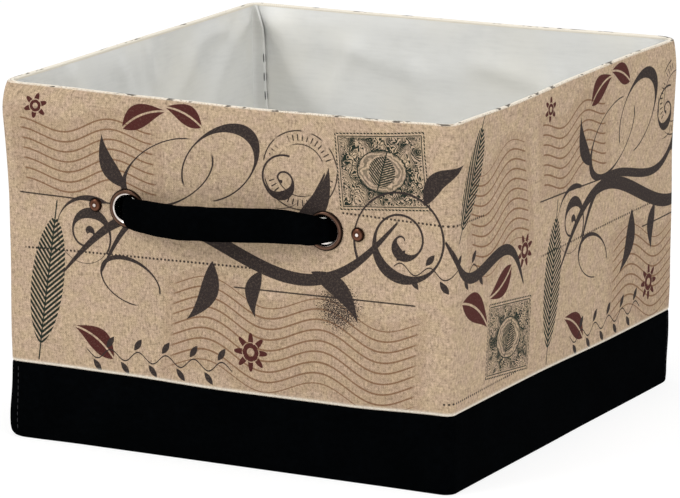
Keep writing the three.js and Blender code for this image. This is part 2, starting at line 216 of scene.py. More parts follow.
def points_of(piece):
    at = np.empty(3 * len(piece.data.vertices))
    piece.data.vertices.foreach_get("co", at)
    return at.reshape(-1, 3)


def move_points(piece, at):
    piece.data.vertices.foreach_set("co", np.asarray(at, float).ravel())
    piece.data.update()


def edit(piece):
    select_only(piece)
    bpy.ops.object.mode_set(mode="EDIT")
    bpy.ops.mesh.select_mode(type="VERT")


def leave_edit():
    bpy.ops.object.mode_set(mode="OBJECT")


def whole_mesh(piece, work):
    """Does `work` in edit mode with everything selected."""
    edit(piece)
    bpy.ops.mesh.select_all(action="SELECT")
    work()
    leave_edit()


def select_parts(piece, kind, chosen):
    """Selects the faces, edges or vertices for which `chosen` is true, in edit mode."""
    bpy.ops.mesh.select_mode(type=kind)
    bpy.ops.mesh.select_all(action="DESELECT")
    leave_edit()
    parts = {"VERT": piece.data.vertices, "EDGE": piece.data.edges, "FACE": piece.data.polygons}[kind]
    for part in parts:
        part.select = bool(chosen(part))
    bpy.ops.object.mode_set(mode="EDIT")


def apply_modifier(piece, kind, **settings):
    select_only(piece)
    bpy.ops.object.modifier_add(type=kind)
    modifier = piece.modifiers[-1]
    for key, value in settings.items():
        setattr(modifier, key, value)
    bpy.ops.object.modifier_apply(modifier=modifier.name)


def smooth(piece, degrees=40):
    select_only(piece)
    bpy.ops.object.shade_smooth_by_angle(angle=math.radians(degrees))


def drill(piece, body, fittings, low, high, eyelets=True):
    """Cuts the rivets' holes, and the eyelets' too, through a piece, from one place along Y to another."""
    holes = [(EYELET_X, fittings.bore + fittings.wall)] if eyelets else []
    holes.append((RIVET_X, fittings.rivet_post))
    for side in (-1, 1):
        for x, radius in holes:
            rod = primitive(
                bpy.ops.mesh.primitive_cylinder_add, "drill", vertices=48, radius=radius + body.gap,
                depth=high - low, location=(side * x, (low + high) / 2, HANDLE_Z),
                rotation=(math.pi / 2, 0, 0),
            )
            apply_modifier(piece, "BOOLEAN", object=rod, operation="DIFFERENCE", solver="EXACT")
            bpy.data.objects.remove(rod)


def finish_piece(piece, material, body="basket", replaced=()):
    piece.data.materials.clear()
    piece.data.materials.append(material)
    if body:
        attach(piece, body)
    if replaced:
        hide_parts(*replaced)
    return piece


# Cloth, cut flat and then laid round the basket


def flat_cloth(name, across, up):
    """A flat cloth with its columns and rows at these places, which its UV map keeps in metres."""
    columns, rows = len(across) - 1, len(up) - 1
    grid = {"x_subdivisions": columns, "y_subdivisions": rows, "size": 1, "calc_uvs": True}
    piece = primitive(bpy.ops.mesh.primitive_grid_add, name, **grid)
    at = points_of(piece)
    column = np.rint((at[:, 0] + 0.5) * columns).astype(int)
    row = np.rint((at[:, 1] + 0.5) * rows).astype(int)
    flat = np.stack([np.asarray(across)[column], np.asarray(up)[row]], axis=1)
    corners = np.empty(len(piece.data.loops), int)
    piece.data.loops.foreach_get("vertex_index", corners)
    piece.data.uv_layers.active.data.foreach_set("uv", flat[corners].ravel())
    return piece, column, row


def close_ring(piece):
    """Joins the first and last columns of a cloth that goes all the way round."""
    whole_mesh(piece, lambda: bpy.ops.mesh.remove_doubles(threshold=1e-6))


def close_holes(piece):
    """Fills every open edge loop with a face, and turns all faces outward."""
    edit(piece)
    bpy.ops.mesh.select_mode(type="EDGE")
    bpy.ops.mesh.select_all(action="SELECT")
    bpy.ops.mesh.fill_holes(sides=0)
    bpy.ops.mesh.normals_make_consistent(inside=False)
    leave_edit()


def face_from(piece, inside):
    """Turns a cloth's faces over if they look towards the point `inside`."""
    outward = sum((face.center - Vector(inside)).dot(face.normal) for face in piece.data.polygons)
    if outward < 0:
        whole_mesh(piece, bpy.ops.mesh.flip_normals)


def thicken(piece, thickness, even=True):
    """Gives a cloth its thickness, on the side away from the one it shows."""
    apply_modifier(piece, "SOLIDIFY", thickness=thickness, offset=-1, use_even_offset=even)


# How the sewn basket departs from a true box, at places round it. Place 0 is the back left corner, 1 the
# front left, 2 the front right and 3 the back right one. Each row has a place and a length in metres.
STANDING_OUT = (
    (0, 0.0005), (0.5, 0.0010), (1, 0.0014), (1.15, 0), (1.85, 0), (2, 0.0004), (2.5, 0.0018), (3, 0.0040),
    (3.5, 0.0014), (4, 0.0005),
)
CORNER_FLARE = ((0, 0.0032), (1, 0.0052), (2, 0.0024), (3, 0.0040), (4, 0.0032))
BASE_ROUNDING = ((0, 0.006), (1, 0.007), (2, 0.002), (3, 0.006), (4, 0.006))
RIM_ROUNDING = ((0, 0.003), (1, 0.007), (2, 0.004), (3, 0.004), (4, 0.003))
BAND_BULGE = (
    (0, 0.0022), (1.5, 0.0022), (2, 0.0014), (2.6, 0.0006), (3, -0.0012), (3.4, 0.0010), (4, 0.0022),
)
RIM_RISE = (
    (0, -0.0003), (0.5, 0.0002), (1, -0.0005), (1.28, -0.0022), (1.55, -0.0030), (1.85, -0.0022),
    (2, -0.0008), (2.25, -0.0021), (2.55, -0.0002), (2.85, 0.0010), (3, 0.0008), (3.4, 0.0001),
    (3.8, -0.0002), (4, -0.0003),
)
SEAM_RISE = (
    (0, 0), (1, 0), (1.25, -0.0006), (1.5, -0.0022), (1.78, -0.0020), (2, 0.0002), (2.35, 0.0007),
    (2.7, -0.0010), (3, -0.0006), (4, 0),
)
# How far the strap hangs below the eyelets' height, by its share of the way from left (-1) to right (1)
STRAP_SAG = (
    (-1, 0.0012), (-0.72, 0.0022), (-0.45, 0.0016), (-0.1, -0.0007), (0.3, -0.0020), (0.7, -0.0026),
    (1, -0.0018),
)
SEAM_FADE = 0.06  # height above the band's seam in which the cloth becomes level again
EDGE_FADE = 0.02  # length beside an edge of a cloth in which its unevenness begins
HELD_RADIUS, HELD_FADE = 0.016, 0.03  # radius held flat by an eyelet or rivet, and the width of the fade
# The basket's corners as signs, from the back left one on, anticlockwise seen from above
CORNERS = ((-1, 1), (-1, -1), (1, -1), (1, 1))
# The walls in the same order. Each starts at the corner of the same place in CORNERS.
WALLS = ("left", "front", "right", "back")


def eased(share):
    """A smooth step from 0 to 1."""
    return share * share * (3 - 2 * share)


def lengths_along(points):
    """The length of a path up to each of its points."""
    return np.concatenate([[0], np.cumsum(np.linalg.norm(np.diff(points, axis=0), axis=1))])


def pointing(angle):
    """A unit vector, seen from above, for each angle."""
    return np.column_stack([np.cos(angle), np.sin(angle)])


def at_place(table, place):
    """The length at each place, running smoothly from each row of a table to the next."""
    places, lengths = np.array(table, float).T
    index = np.clip(np.searchsorted(places, place, side="right") - 1, 0, len(places) - 2)
    share = eased((place - places[index]) / (places[index + 1] - places[index]))
    return lengths[index] + (lengths[index + 1] - lengths[index]) * share


def place_round(mx, my):
    """The place round the basket of a point on a square from -1 to 1."""
    sides = [np.isclose(mx, -1), np.isclose(my, -1), np.isclose(mx, 1)]
    return np.select(sides, [(1 - my) / 2, 1 + (mx + 1) / 2, 2 + (my + 1) / 2], 3 + (1 - mx) / 2)


def corner_radius_at(body, z, place):
    def round_share(share):
        return 1 - np.sqrt(1 - np.clip(share, 0, 1) ** 2)

    rim = round_share((z - HEIGHT + body.rim_corner_height) / body.rim_corner_height)
    base = round_share((body.base_corner_height - z) / body.base_corner_height)
    return body.corner_radius + at_place(RIM_ROUNDING, place) * rim + at_place(BASE_ROUNDING, place) * base


def wall_line(body, side):
    """The signs of a wall's two corners, the angle that it faces, and its span between the round corners."""
    start, end = np.array(CORNERS[side]), np.array(CORNERS[(side + 1) % 4])
    return start, end, math.pi + side * math.pi / 2, (WIDTH if side % 2 else DEPTH) - 2 * body.corner_radius


def ring_columns(body):
    """Columns round the basket, from the back of the left wall on. Each has its place on a square from -1 to
    1, the angle that it faces, its share along its wall, the wall's span and the cloth's length up to it."""
    columns = []
    run = 0
    for side in range(4):
        start, end, facing, span = wall_line(body, side)
        for i in range(body.wall_columns):
            share = i / body.wall_columns
            columns.append((*(start + (end - start) * share), facing, share, span, run + span * share))
        run += span
        turn = body.corner_radius * math.pi / 2
        for i in range(body.corner_columns):
            share = i / body.corner_columns
            columns.append((*end, facing + share * math.pi / 2, 0, span, run + turn * share))
        run += turn
    columns.append((*CORNERS[0], math.pi, 0, columns[0][4], run))
    return np.array(columns)


def side_start(body, side):
    """The length of the cloth round the basket up to the start of a wall."""
    spans = [wall_line(body, before)[3] for before in range(side)]
    return sum(spans) + side * body.corner_radius * math.pi / 2


def wall_columns(body, side, count, corner_count):
    """Columns of one wall, in the form of ring_columns, with half of the corner at each end."""
    start, end, facing, span = wall_line(body, side)
    turn = body.corner_radius * math.pi / 4
    columns = []
    for i in range(corner_count):
        share = i / corner_count
        columns.append((*start, facing - (1 - share) * math.pi / 4, 0, span, turn * (share - 1)))
    for share in np.linspace(0, 1, count + 1):
        columns.append((*(start + (end - start) * share), facing, share, span, span * share))
    for i in range(1, corner_count + 1):
        share = i / corner_count
        columns.append((*end, facing + share * math.pi / 4, 1, span, span + turn * share))
    return np.array(columns)


def perimeter(body):
    return 2 * (WIDTH + DEPTH) - (8 - 2 * math.pi) * body.corner_radius


def quarter(centre, radius, start, end, steps):
    """Points of an arc in a wall's profile, as (inset, height) pairs. Angle 0 points out of the basket."""
    angles = np.linspace(math.radians(start), math.radians(end), steps + 1)
    return [(centre[0] - radius * math.cos(a), centre[1] + radius * math.sin(a)) for a in angles]


def with_run(profile):
    """A profile with a third value, the cloth's length up to each point."""
    profile = np.array(profile)
    steps = np.hypot(*np.diff(profile, axis=0).T)
    return np.column_stack([profile, np.concatenate([[0], np.cumsum(steps)])])


def rise(low, high, step):
    """Heights between two rows of a wall, without the two ends."""
    count = max(1, round((high - low) / step))
    return list(np.linspace(low, high, count + 1)[1:-1])


def raised(place, z):
    """How far the cloth lies above its level height: the rim and the band's seam aren't quite straight."""
    rim = np.clip((z - 0.6 * HEIGHT) / (0.4 * HEIGHT), 0, 1) ** 2
    seam = np.where(z < BAND_TOP, z / BAND_TOP, np.clip(1 - (z - BAND_TOP) / SEAM_FADE, 0, 1))
    return at_place(RIM_RISE, place) * rim + at_place(SEAM_RISE, place) * eased(seam)


def standing(body, place, distance, z, inset):
    """How far the wall stands out of a true box, the more so beside the corners at the rim. What lies inside
    the wall doesn't follow it at the floor."""
    top = np.clip((z - HEIGHT + body.flare_height) / body.flare_height, 0, 1)
    turned_in = np.clip((z - 0.9 * HEIGHT) / (0.1 * HEIGHT), 0, 1)
    top = top**1.3 * (1 - 0.6 * eased(turned_in))
    flare = at_place(CORNER_FLARE, place) * np.exp(-((distance / body.flare_width) ** 2)) * top
    held = np.where(inset > 2 * body.canvas, np.clip(z / EDGE_FADE, 0, 1), 1)
    return flare + at_place(STANDING_OUT, place) * held


def fastening_calm(x, z):
    """0 at the eyelets and rivets, where the cloth is held flat, and 1 away from them."""
    calm = np.ones_like(x)
    for centre in (-EYELET_X, -RIVET_X, EYELET_X, RIVET_X):
        distance = np.hypot(x - centre, z - HANDLE_Z)
        calm = np.minimum(calm, np.clip((distance - HELD_RADIUS) / HELD_FADE, 0, 1))
    return calm


def laid(body, columns, inset, z, outward):
    """Places of a cloth's points on the basket. `outward` says how far it stands off the wall."""
    mx, my, facing, share, span, run = columns.T
    place = place_round(mx, my)
    radius = corner_radius_at(body, z, place)
    distance = np.minimum(share, 1 - share) * span
    out = outward(place, facing, share, distance, run, z, mx) + standing(body, place, distance, z, inset)
    reach = radius - inset + out
    x = mx * (WIDTH / 2 - radius) + reach * np.cos(facing)
    y = my * (DEPTH / 2 - radius) + reach * np.sin(facing)
    return np.column_stack([x, y, z + raised(place, z)])


def wrap(body, piece, column, row, columns, profile, outward):
    """Lays a flat cloth round the basket."""
    move_points(piece, laid(body, columns[column], profile[row, 0], profile[row, 1], outward))
    face_from(piece, (0, 0, HEIGHT / 2))


def sleeve_profile(body):
    """From the band's seam up, over the rim, and down inside it."""
    low, roll = SLEEVE_LOW.z, body.rim_roll
    inner = body.rim_thickness
    seam = quarter((body.seam_roll, low + body.seam_roll), body.seam_roll, -90, 0, 4)
    shoulder = HEIGHT - body.rim_corner_height - body.cloth_step
    heights = rise(seam[-1][1], shoulder, body.cloth_step) + [shoulder]
    heights += rise(shoulder, HEIGHT - roll, body.rim_corner_height / 4)
    over = quarter((roll, HEIGHT - roll), roll, 0, 90, 5)
    down = quarter((inner - roll, HEIGHT - roll), roll, 90, 180, 5)
    hem = [(inner, HEIGHT - roll - body.rim_hem * k / 3) for k in (1, 2, 3)]
    return with_run(seam + [(0, z) for z in heights] + over + down + hem)


def joined_ends(body, run):
    """0 where the ends of a cloth that goes all the way round are joined, and 1 away from there."""
    return np.clip(np.minimum(run, perimeter(body) - run) / EDGE_FADE, 0, 1)


def sleeve_outward(body):
    """The faint waves of the canvas over the boards."""
    def outward(place, facing, share, distance, run, z, mx):
        x = mx * (WIDTH / 2 - body.corner_radius)
        front = np.isclose(facing, 1.5 * math.pi)
        calm = np.where(front, fastening_calm(x, z), 1)
        edge = np.clip((z - SLEEVE_LOW.z) / EDGE_FADE, 0, 1) * np.clip((HEIGHT - z) / 0.015, 0, 1)
        wave = np.sin(run / 0.031 + 2.1 * np.sin(z / 0.043)) * np.sin(z / 0.037 + 1.7 * np.sin(run / 0.09))
        broad = np.sin(run / 0.083 + 0.7) * np.sin(z / 0.071 + 0.4)
        return body.wall_wave * (0.9 + 0.45 * wave + 0.55 * broad) * calm * edge * joined_ends(body, run)

    return outward


def band_profile(body):
    """From under the bottom out, up the wall, and into the seam."""
    lip = PANEL_LOW.x - SLEEVE_LOW.x - body.gap
    fillet = body.base_fillet
    under = [(inset, 0) for inset in np.linspace(lip, fillet, 5)[:-1]]
    turned_under = quarter((fillet, fillet), fillet, -90, 0, 5)
    seam = quarter((body.seam_roll, BAND_TOP - body.seam_roll), body.seam_roll, 0, 90, 4)
    low = rise(fillet, body.base_corner_height, 0.002) + [body.base_corner_height]
    heights = low + rise(body.base_corner_height, seam[0][1], body.cloth_step)
    return with_run(under + turned_under + [(0, z) for z in heights] + seam)


def band_outward(body):
    """The band's belly just above the floor, and its faint waves."""
    def outward(place, facing, share, distance, run, z, mx):
        belly = np.exp(-(((z - 0.012) / 0.018) ** 2)) * np.sqrt(np.clip(z / 0.003, 0, 1))
        away = at_place(BAND_BULGE, place)
        wave = np.sin(run / 0.043 + 1.1 * np.sin(z / 0.02)) * np.sin(z / 0.013 + run / 0.11)
        middle = np.sin(math.pi * np.clip(z / BAND_TOP, 0, 1))
        return belly * away + 0.0004 * (1 + wave) * middle * joined_ends(body, run)

    return outward


def stitch_row(name, places, along, facing, fittings, size=1):
    """Stitches in one mesh. One stitch is modelled, and each copy lies along its place's direction. `size` is
    its width and length over those of a topstitch."""
    unit = primitive(bpy.ops.mesh.primitive_uv_sphere_add, name, segments=6, ring_count=5, radius=0.5)
    whole_mesh(unit, lambda: bpy.ops.transform.resize(
        value=(size * fittings.thread, fittings.thread, size * fittings.stitch)
    ))
    shape = points_of(unit)
    faces = [list(face.vertices) for face in unit.data.polygons]
    bpy.data.objects.remove(unit)
    vertices, polygons = [], []
    for place, direction, out in zip(places, along, facing):
        direction = np.array(Vector(direction).normalized())
        out = np.array(Vector(out).normalized())
        side = np.cross(out, direction)
        start = len(vertices)
        vertices.extend(place + shape @ np.array([side, 0.7 * out, direction]))
        polygons.extend([start + i for i in face] for face in faces)
    mesh = bpy.data.meshes.new(name)
    mesh.from_pydata([tuple(v) for v in vertices], [], polygons)
    piece = bpy.data.objects.new(name, mesh)
    bpy.context.scene.collection.objects.link(piece)
    select_only(piece)
    whole_mesh(piece, lambda: bpy.ops.mesh.normals_make_consistent(inside=False))
    smooth(piece, 80)
    return piece


# Materials, as arithmetic on sockets


class Signal:
    """A socket that takes part in sums. Each operator adds a Math node."""

    def __init__(self, nodes, socket):
        self.nodes = nodes
        self.socket = socket

    def maths(self, operation, *others, clamp=False):
        settings = {"operation": operation, "use_clamp": clamp}
        return self.nodes.add("ShaderNodeMath", settings, dict(enumerate([self, *others])))

    def __add__(self, other):
        return self.maths("ADD", other)

    def __sub__(self, other):
        return self.maths("SUBTRACT", other)

    def __rsub__(self, other):
        return self.nodes.add("ShaderNodeMath", {"operation": "SUBTRACT"}, {0: other, 1: self})

    def __mul__(self, other):
        return self.maths("MULTIPLY", other)

    __radd__, __rmul__ = __add__, __mul__

    def __truediv__(self, other):
        return self.maths("DIVIDE", other)

    def __pow__(self, other):
        return self.maths("POWER", other)

    def __abs__(self):
        return self.maths("ABSOLUTE")

    def sine(self):
        return self.maths("SINE")

    def cosine(self):
        return self.maths("COSINE")

    def angle(self, right):
        """The angle of the point that is `right` across and this high."""
        return self.maths("ARCTAN2", right)

    def wrapped(self, period):
        """The remainder after whole periods, from 0 to the period, also below zero."""
        return self.maths("FLOORED_MODULO", period)

    def from_half(self):
        """The part behind the point, from -0.5 to 0.5 as it goes from 0 to 1."""
        return self.wrapped(1.0) - 0.5

    def most(self, other):
        return self.maths("MAXIMUM", other)

    def stepped(self, low, high, start, end):
        settings = {"interpolation_type": "SMOOTHSTEP"}
        return self.nodes.add("ShaderNodeMapRange", settings, {0: self, 1: low, 2: high, 3: start, 4: end})

    def rising(self, low, high):
        """0 below `low`, 1 above `high`, and a smooth step between them."""
        return self.stepped(low, high, 0.0, 1.0)

    def falling(self, low, high):
        """1 below `low`, 0 above `high`, and a smooth step between them."""
        return self.stepped(low, high, 1.0, 0.0)


class Nodes:
    """A node tree, with one method that adds any node to it."""

    def __init__(self, tree):
        self.tree = tree

    def add(self, kind, settings=None, inputs=None, output=0):
        """Adds a node of a type, with its settings first and then its sockets' values or links."""
        node = self.tree.nodes.new(kind)
        for key, value in (settings or {}).items():
            if key == "stops":
                self.set_stops(node.color_ramp, value)
            else:
                setattr(node, key, value)
        for key, value in (inputs or {}).items():
            self.feed(node.inputs[key], value)
        return Signal(self, node.outputs[output])

    def feed(self, socket, value):
        if isinstance(value, Signal):
            self.tree.links.new(value.socket, socket)
        else:
            socket.default_value = value

    def set_stops(self, ramp, stops):
        while len(ramp.elements) < len(stops):
            ramp.elements.new(1)
        for element, (place, shade) in zip(ramp.elements, stops):
            element.position = place
            element.color = (*shade, 1) if len(shade) == 3 else shade

    def seen_by(self, *rays):
        """1 for rays of these kinds, such as "Camera", and 0 for others."""
        node = self.add("ShaderNodeLightPath").socket.node
        first, *others = [Signal(self, node.outputs[f"Is {ray} Ray"]) for ray in rays]
        for other in others:
            first = first.most(other)
        return first

    def output(self, name, shader):
        """Makes a shader the surface of the output node of this name."""
        self.feed(self.tree.nodes[name].inputs["Surface"], shader)


class Look(Nodes):
    """The nodes of one material, with its shader and output in place."""

    def __init__(self, name, **shader_values):
        self.material = bpy.data.materials.new(name)
        self.material.use_nodes = True
        super().__init__(self.material.node_tree)
        self.shader = self.tree.nodes["Principled BSDF"]
        self.to_shader(**shader_values)

    def to_shader(self, **values):
        """Feeds the shader's sockets, with _ for each space of their names."""
        for key, value in values.items():
            self.feed(self.shader.inputs[key.replace("_", " ")], value)

    def parts(self, where):
        """The three coordinates of a place."""
        node = self.add("ShaderNodeSeparateXYZ", None, {0: where}).socket.node
        return [Signal(self, output) for output in node.outputs]

    def cloth_place(self):
        """The place on the flat cloth in metres: round the basket or along the strap, and up or across."""
        where = self.add("ShaderNodeUVMap", {"uv_map": "UVMap"})
        run, up, _ = self.parts(where)
        return where, run, up

    def solid_place(self):
        return self.add("ShaderNodeTexCoord", None, None, "Object")

    def noise(self, where, scale, detail=2.0, roughness=0.5, distortion=0.0):
        """Noise of so many lumps a metre. Three scales make it finer in one direction than in another."""
        if isinstance(scale, tuple):
            settings = {"vector_type": "POINT"}
            where = self.add("ShaderNodeMapping", settings, {"Vector": where, "Scale": scale})
            scale = 1.0
        values = {"Scale": scale, "Detail": detail, "Roughness": roughness, "Distortion": distortion}
        return self.add("ShaderNodeTexNoise", None, {"Vector": where, **values})

    def ramp(self, value, *stops):
        """A colour for a value, between stops of a value and a colour each."""
        return self.add("ShaderNodeValToRGB", {"stops": stops}, {0: value})

    def mixed(self, factor, first, second, blend="MIX"):
        """Two colours mixed by a factor. Plain colours have three parts."""
        settings = {"data_type": "RGBA", "blend_type": blend}
        values = {0: factor, 6: self.whole(first), 7: self.whole(second)}
        return self.add("ShaderNodeMix", settings, values, 2)

    def whole(self, shade):
        return shade if isinstance(shade, Signal) else (*shade, 1.0)

    def bump(self, height, distance, strength=1.0):
        values = {"Strength": strength, "Distance": distance, "Height": height}
        self.to_shader(Normal=self.add("ShaderNodeBump", None, values))


def scaled(shade, factor):
    """A colour times a number, or times one number for each of its parts."""
    factors = factor if isinstance(factor, tuple) else (factor,) * 3
    return tuple(min(1.0, part * share) for part, share in zip(shade, factors))


def woven_height(across, up, pitch, wander=None):
    """Height of a plain weave of threads, 0 to 1, with the threads wandering a little."""
    turns = math.pi / pitch
    if wander is not None:
        across = across + (wander - 0.5) * (0.9 * pitch)
        up = up + (wander - 0.5) * (-0.8 * pitch)
    warp = (across * turns).sine()
    weft = (up * turns).sine()
    return (warp * weft) * 0.5 + 0.5


class Press:
    """Prints motifs on the cloth. Places are in millimetres from the left end of the front wall and from the
    floor, and the print repeats round the basket. `fat` and `thin` are half widths of a pen's stroke."""

    edge = 0.22  # softness of an ink's edge

    def __init__(self, look, round_mm, up_mm, where):
        self.look = look
        self.where = look.add("ShaderNodeCombineXYZ", None, {0: round_mm, 1: up_mm, 2: 0.0})
        self.worn = (look.noise(where, 700.0, 3.0, 0.6) - 0.5) * 0.5 + 1.04

    def ink(self, motif, rows):
        """The ink of several motifs of one kind together."""
        together = motif(*rows[0])
        for row in rows[1:]:
            together = together.most(motif(*row))
        return together

    def printed(self, cloth, ink, strength, shade):
        """A cloth's colour with an ink on it, a little worn."""
        return self.look.mixed((ink * self.worn).maths("MULTIPLY", strength, clamp=True), cloth, shade)

    def splatter(self, x, y, reach):
        """Worn, broken ink that thins out from a middle."""
        vector, _, _ = self.frame_at(x, y)
        near = self.size(vector).falling(0.3 * reach, reach)
        grain = self.look.noise(self.where, 1.1, 2.0, 0.6)
        return (grain + near * 0.22).rising(0.66, 0.7) * near.rising(0.05, 0.2)

    def frame_at(self, x, y, turn=0.0, flat=1.0):
        """Coordinates about a point, turned by some degrees, with the second one stretched by `flat`."""
        values = {"Location": (x, y, 0), "Rotation": (0, 0, math.radians(turn)), "Scale": (1, 1 / flat, 1)}
        settings = {"vector_type": "TEXTURE"}
        moved = self.look.add("ShaderNodeMapping", settings, {"Vector": self.where, **values})
        right, upward, _ = self.look.parts(moved)
        return moved, right, upward

    def size(self, vector):
        return self.look.add("ShaderNodeVectorMath", {"operation": "LENGTH"}, {0: vector}, 1)

    def towards(self, vector, degrees):
        """How far a point lies in a direction."""
        angle = math.radians(degrees)
        values = {0: vector, 1: (math.cos(angle), math.sin(angle), 0.0)}
        return self.look.add("ShaderNodeVectorMath", {"operation": "DOT_PRODUCT"}, values, 1)

    def line(self, distance, half_width):
        """Ink within half a width of a line, with a soft edge."""
        return (abs(distance) - half_width).falling(-self.edge, self.edge)

    def pen_width(self, vector, size, fat, thin, heavy_side):
        """Half the width of a stroke that is fat towards its heavy side and thin elsewhere."""
        lean = self.towards(vector, heavy_side) / size
        return (lean.most(0.0) ** 2.0) * (fat - thin) + thin

    def oval(self, x, y, radius, flat, turn, fat, thin, heavy_side, gap=None):
        """A pen loop. `gap` is the direction in which it is open, and the cosine of how far."""
        vector, _, _ = self.frame_at(x, y, turn, flat)
        size = self.size(vector)
        ink = self.line(size - radius, self.pen_width(vector, size, fat, thin, heavy_side))
        if gap:
            open_towards = self.towards(vector, gap[0]) / size
            ink = ink * open_towards.falling(gap[1] - 0.05, gap[1] + 0.05)
        return ink

    def spiral(self, x, y, pitch, turns, turn, fat, thin, heavy_side, way=1.0):
        """A pen spiral of some turns, anticlockwise where `way` is 1 and clockwise where it is -1."""
        vector, right, upward = self.frame_at(x, y, turn)
        size = self.size(vector)
        arm = size / pitch - (upward * way).angle(right) / (2 * math.pi)
        offset = (arm + 0.5).from_half() * pitch
        reach = size / (pitch * turns)
        half = self.pen_width(vector, size, fat, thin, heavy_side) * reach.falling(0.95, 1.15)
        return self.line(offset, half) * (arm - turns).falling(-0.05, 0.0) * half.rising(0.12, 0.3)

    def swash(self, x, y, turn, reach, lift, fat, thin):
        """A long pen stroke in the form of a lying S, thick in its middle."""
        _, right, upward = self.frame_at(x, y, turn)
        share = right / reach
        offset = upward - (share * math.pi).sine() * lift
        slope = (share * math.pi).cosine() * (lift * math.pi / reach)
        offset = offset / ((slope * slope + 1.0) ** 0.5)
        half = (1.0 - share * share).most(0.0) * (fat - thin) + thin
        return self.line(offset, half) * abs(share).falling(1.0, 1.02)

    def waves(self, x, y, turn, wide, high, spacing, lift, period, half=0.62):
        """A group of parallel wavy lines. `wide` and `high` are half its size, `half` half a line's width."""
        _, right, upward = self.frame_at(x, y, turn)
        wave = (right * (2 * math.pi / period)).sine() * lift
        level = (upward - wave) / spacing
        offset = (level + 0.5).from_half() * spacing
        ends = abs(right).falling(wide * 0.94, wide) * abs(upward - wave).falling(high - 0.3, high + 0.3)
        return self.line(offset, half) * ends

    def dotted(self, x, y, turn, reach, pitch, half):
        _, right, upward = self.frame_at(x, y, turn)
        dot = (right / pitch).from_half() * pitch
        size = (dot * dot + upward * upward) ** 0.5
        return (size - half).falling(-self.edge, self.edge) * abs(right).falling(reach - 1.0, reach)

    def rule(self, x, y, turn, reach, half):
        _, right, upward = self.frame_at(x, y, turn)
        return self.line(upward, half) * abs(right).falling(reach - 2.0, reach)

    def feather(self, x, y, turn, reach, breadth, pitch, slant, fill, quill=0.5):
        """A quill with slanting barbs on both sides, broad in the middle and pointed at both ends."""
        _, right, upward = self.frame_at(x, y, turn)
        share = right / reach
        out = abs(upward)
        outline = (1.0 - share * share).most(0.0) ** 0.6 * breadth
        barb = abs(((right - out * slant) / pitch).from_half()) * 2.0
        barbs = (barb - fill).falling(-0.12, 0.12) * (out - outline).falling(-0.5, 0.0)
        stem = self.line(upward, quill) * abs(right).falling(reach * 1.25, reach * 1.27)
        return barbs.most(stem)

    def leaf(self, x, y, turn, reach, breadth, curve, vein=0.0):
        """A solid curved leaf, broad near its foot and pointed at its tip, with a bare vein of some width."""
        _, right, upward = self.frame_at(x, y, turn)
        share = right / reach
        full = (1.0 - share * share).most(0.0)
        middle = upward - full * curve
        blade = (abs(middle) - full * (share * -0.5 + 1.0) * breadth).falling(-self.edge, self.edge)
        if vein:
            blade = blade * (abs(middle) - vein).rising(-0.1, 0.3)
        return blade * abs(share).falling(0.98, 1.0)

    def vine(self, x, y, turn, reach, period, lift, leaf):
        """A thin wavy stem with a small slanting leaf at each crest, in turn on either side."""
        _, right, upward = self.frame_at(x, y, turn)
        wave = (right * (2 * math.pi / period)).sine()
        stem = self.line(upward - wave * lift, 0.5)
        side = wave.maths("SIGN")
        along = right.wrapped(period / 2) - period / 4
        above = (upward - side * lift) * side - leaf
        lean, rise = along * 0.8 - above * 0.6, along * 0.6 + above * 0.8
        full = 1.0 - (rise / leaf) ** 2.0
        blade = (abs(lean) - full * (0.42 * leaf)).falling(-0.2, 0.2)
        return stem.most(blade) * abs(right).falling(reach - 1.0, reach)

    def rosette(self, x, y, radius, petals, turn=0.0):
        vector, right, upward = self.frame_at(x, y, turn)
        size = self.size(vector)
        edge = (upward.angle(right) * petals).cosine() * (0.28 * radius) + 0.72 * radius
        flower = (size - edge).falling(-0.3, 0.3)
        eye = (size - 0.22 * radius).falling(-0.2, 0.2)
        ring = self.line(size - 0.5 * radius, 0.3)
        return (flower - eye).most(0.0) * abs(ring - 1.0)

    def postmark(self, x, y, radius, ticks):
        """Two rings with ticks between them, worn away in places."""
        vector, right, upward = self.frame_at(x, y, 0.0)
        size = self.size(vector)
        rings = self.line(size - radius, 0.5).most(self.line(size - 0.66 * radius, 0.4))
        angle = upward.angle(right) * (ticks / (2 * math.pi))
        tick = abs(angle.from_half()).falling(0.1, 0.16)
        between = size.rising(0.74 * radius, 0.76 * radius) * size.falling(0.9 * radius, 0.92 * radius)
        return rings.most(tick * between)

    def stamp(self, x, y, turn, wide, high, strokes):
        """An engraved rectangle with a perforated edge: hatched ground, an oval with a leaf, and a double
        border. `wide` and `high` are half its size."""
        vector, right, upward = self.frame_at(x, y, turn)
        side = abs(right) - wide
        top = abs(upward) - high
        edge = side.most(top)
        teeth = abs(((right + upward) / 2.6).from_half())
        paper = (edge + teeth * 1.6).falling(0.6, 1.0)
        border = self.line(edge + 2.4, 0.35).most(self.line(edge + 0.4, 0.5) * teeth.rising(0.1, 0.2))
        field = (edge + 3.4).falling(0.0, 0.4)
        shares = {0: vector, 1: (1.0 / wide, 1.0 / high, 0.0)}
        middle = self.size(self.look.add("ShaderNodeVectorMath", {"operation": "MULTIPLY"}, shares))
        line = abs(((right * 0.75 + upward * 0.35 + strokes * 30.0) / 2.2).from_half())
        shadow = (strokes - middle * 0.12).rising(0.3, 0.6)
        ground = (line - shadow * 0.3).falling(0.12, 0.22)
        rays = abs((middle * 9.0 + strokes * 3.0).from_half()).falling(0.2, 0.3)
        inner = middle.falling(0.5, 0.54)
        leaf = self.feather(x, y, turn + 70.0, 0.42 * high, 0.3 * wide, 1.9, 0.7, 0.6)
        picture = ground * (1.0 - inner) + (rays * 0.55).most(leaf) * inner
        picture = picture.most(self.line((middle - 0.55) * wide, 0.45))
        return (picture * field).most(border) * paper


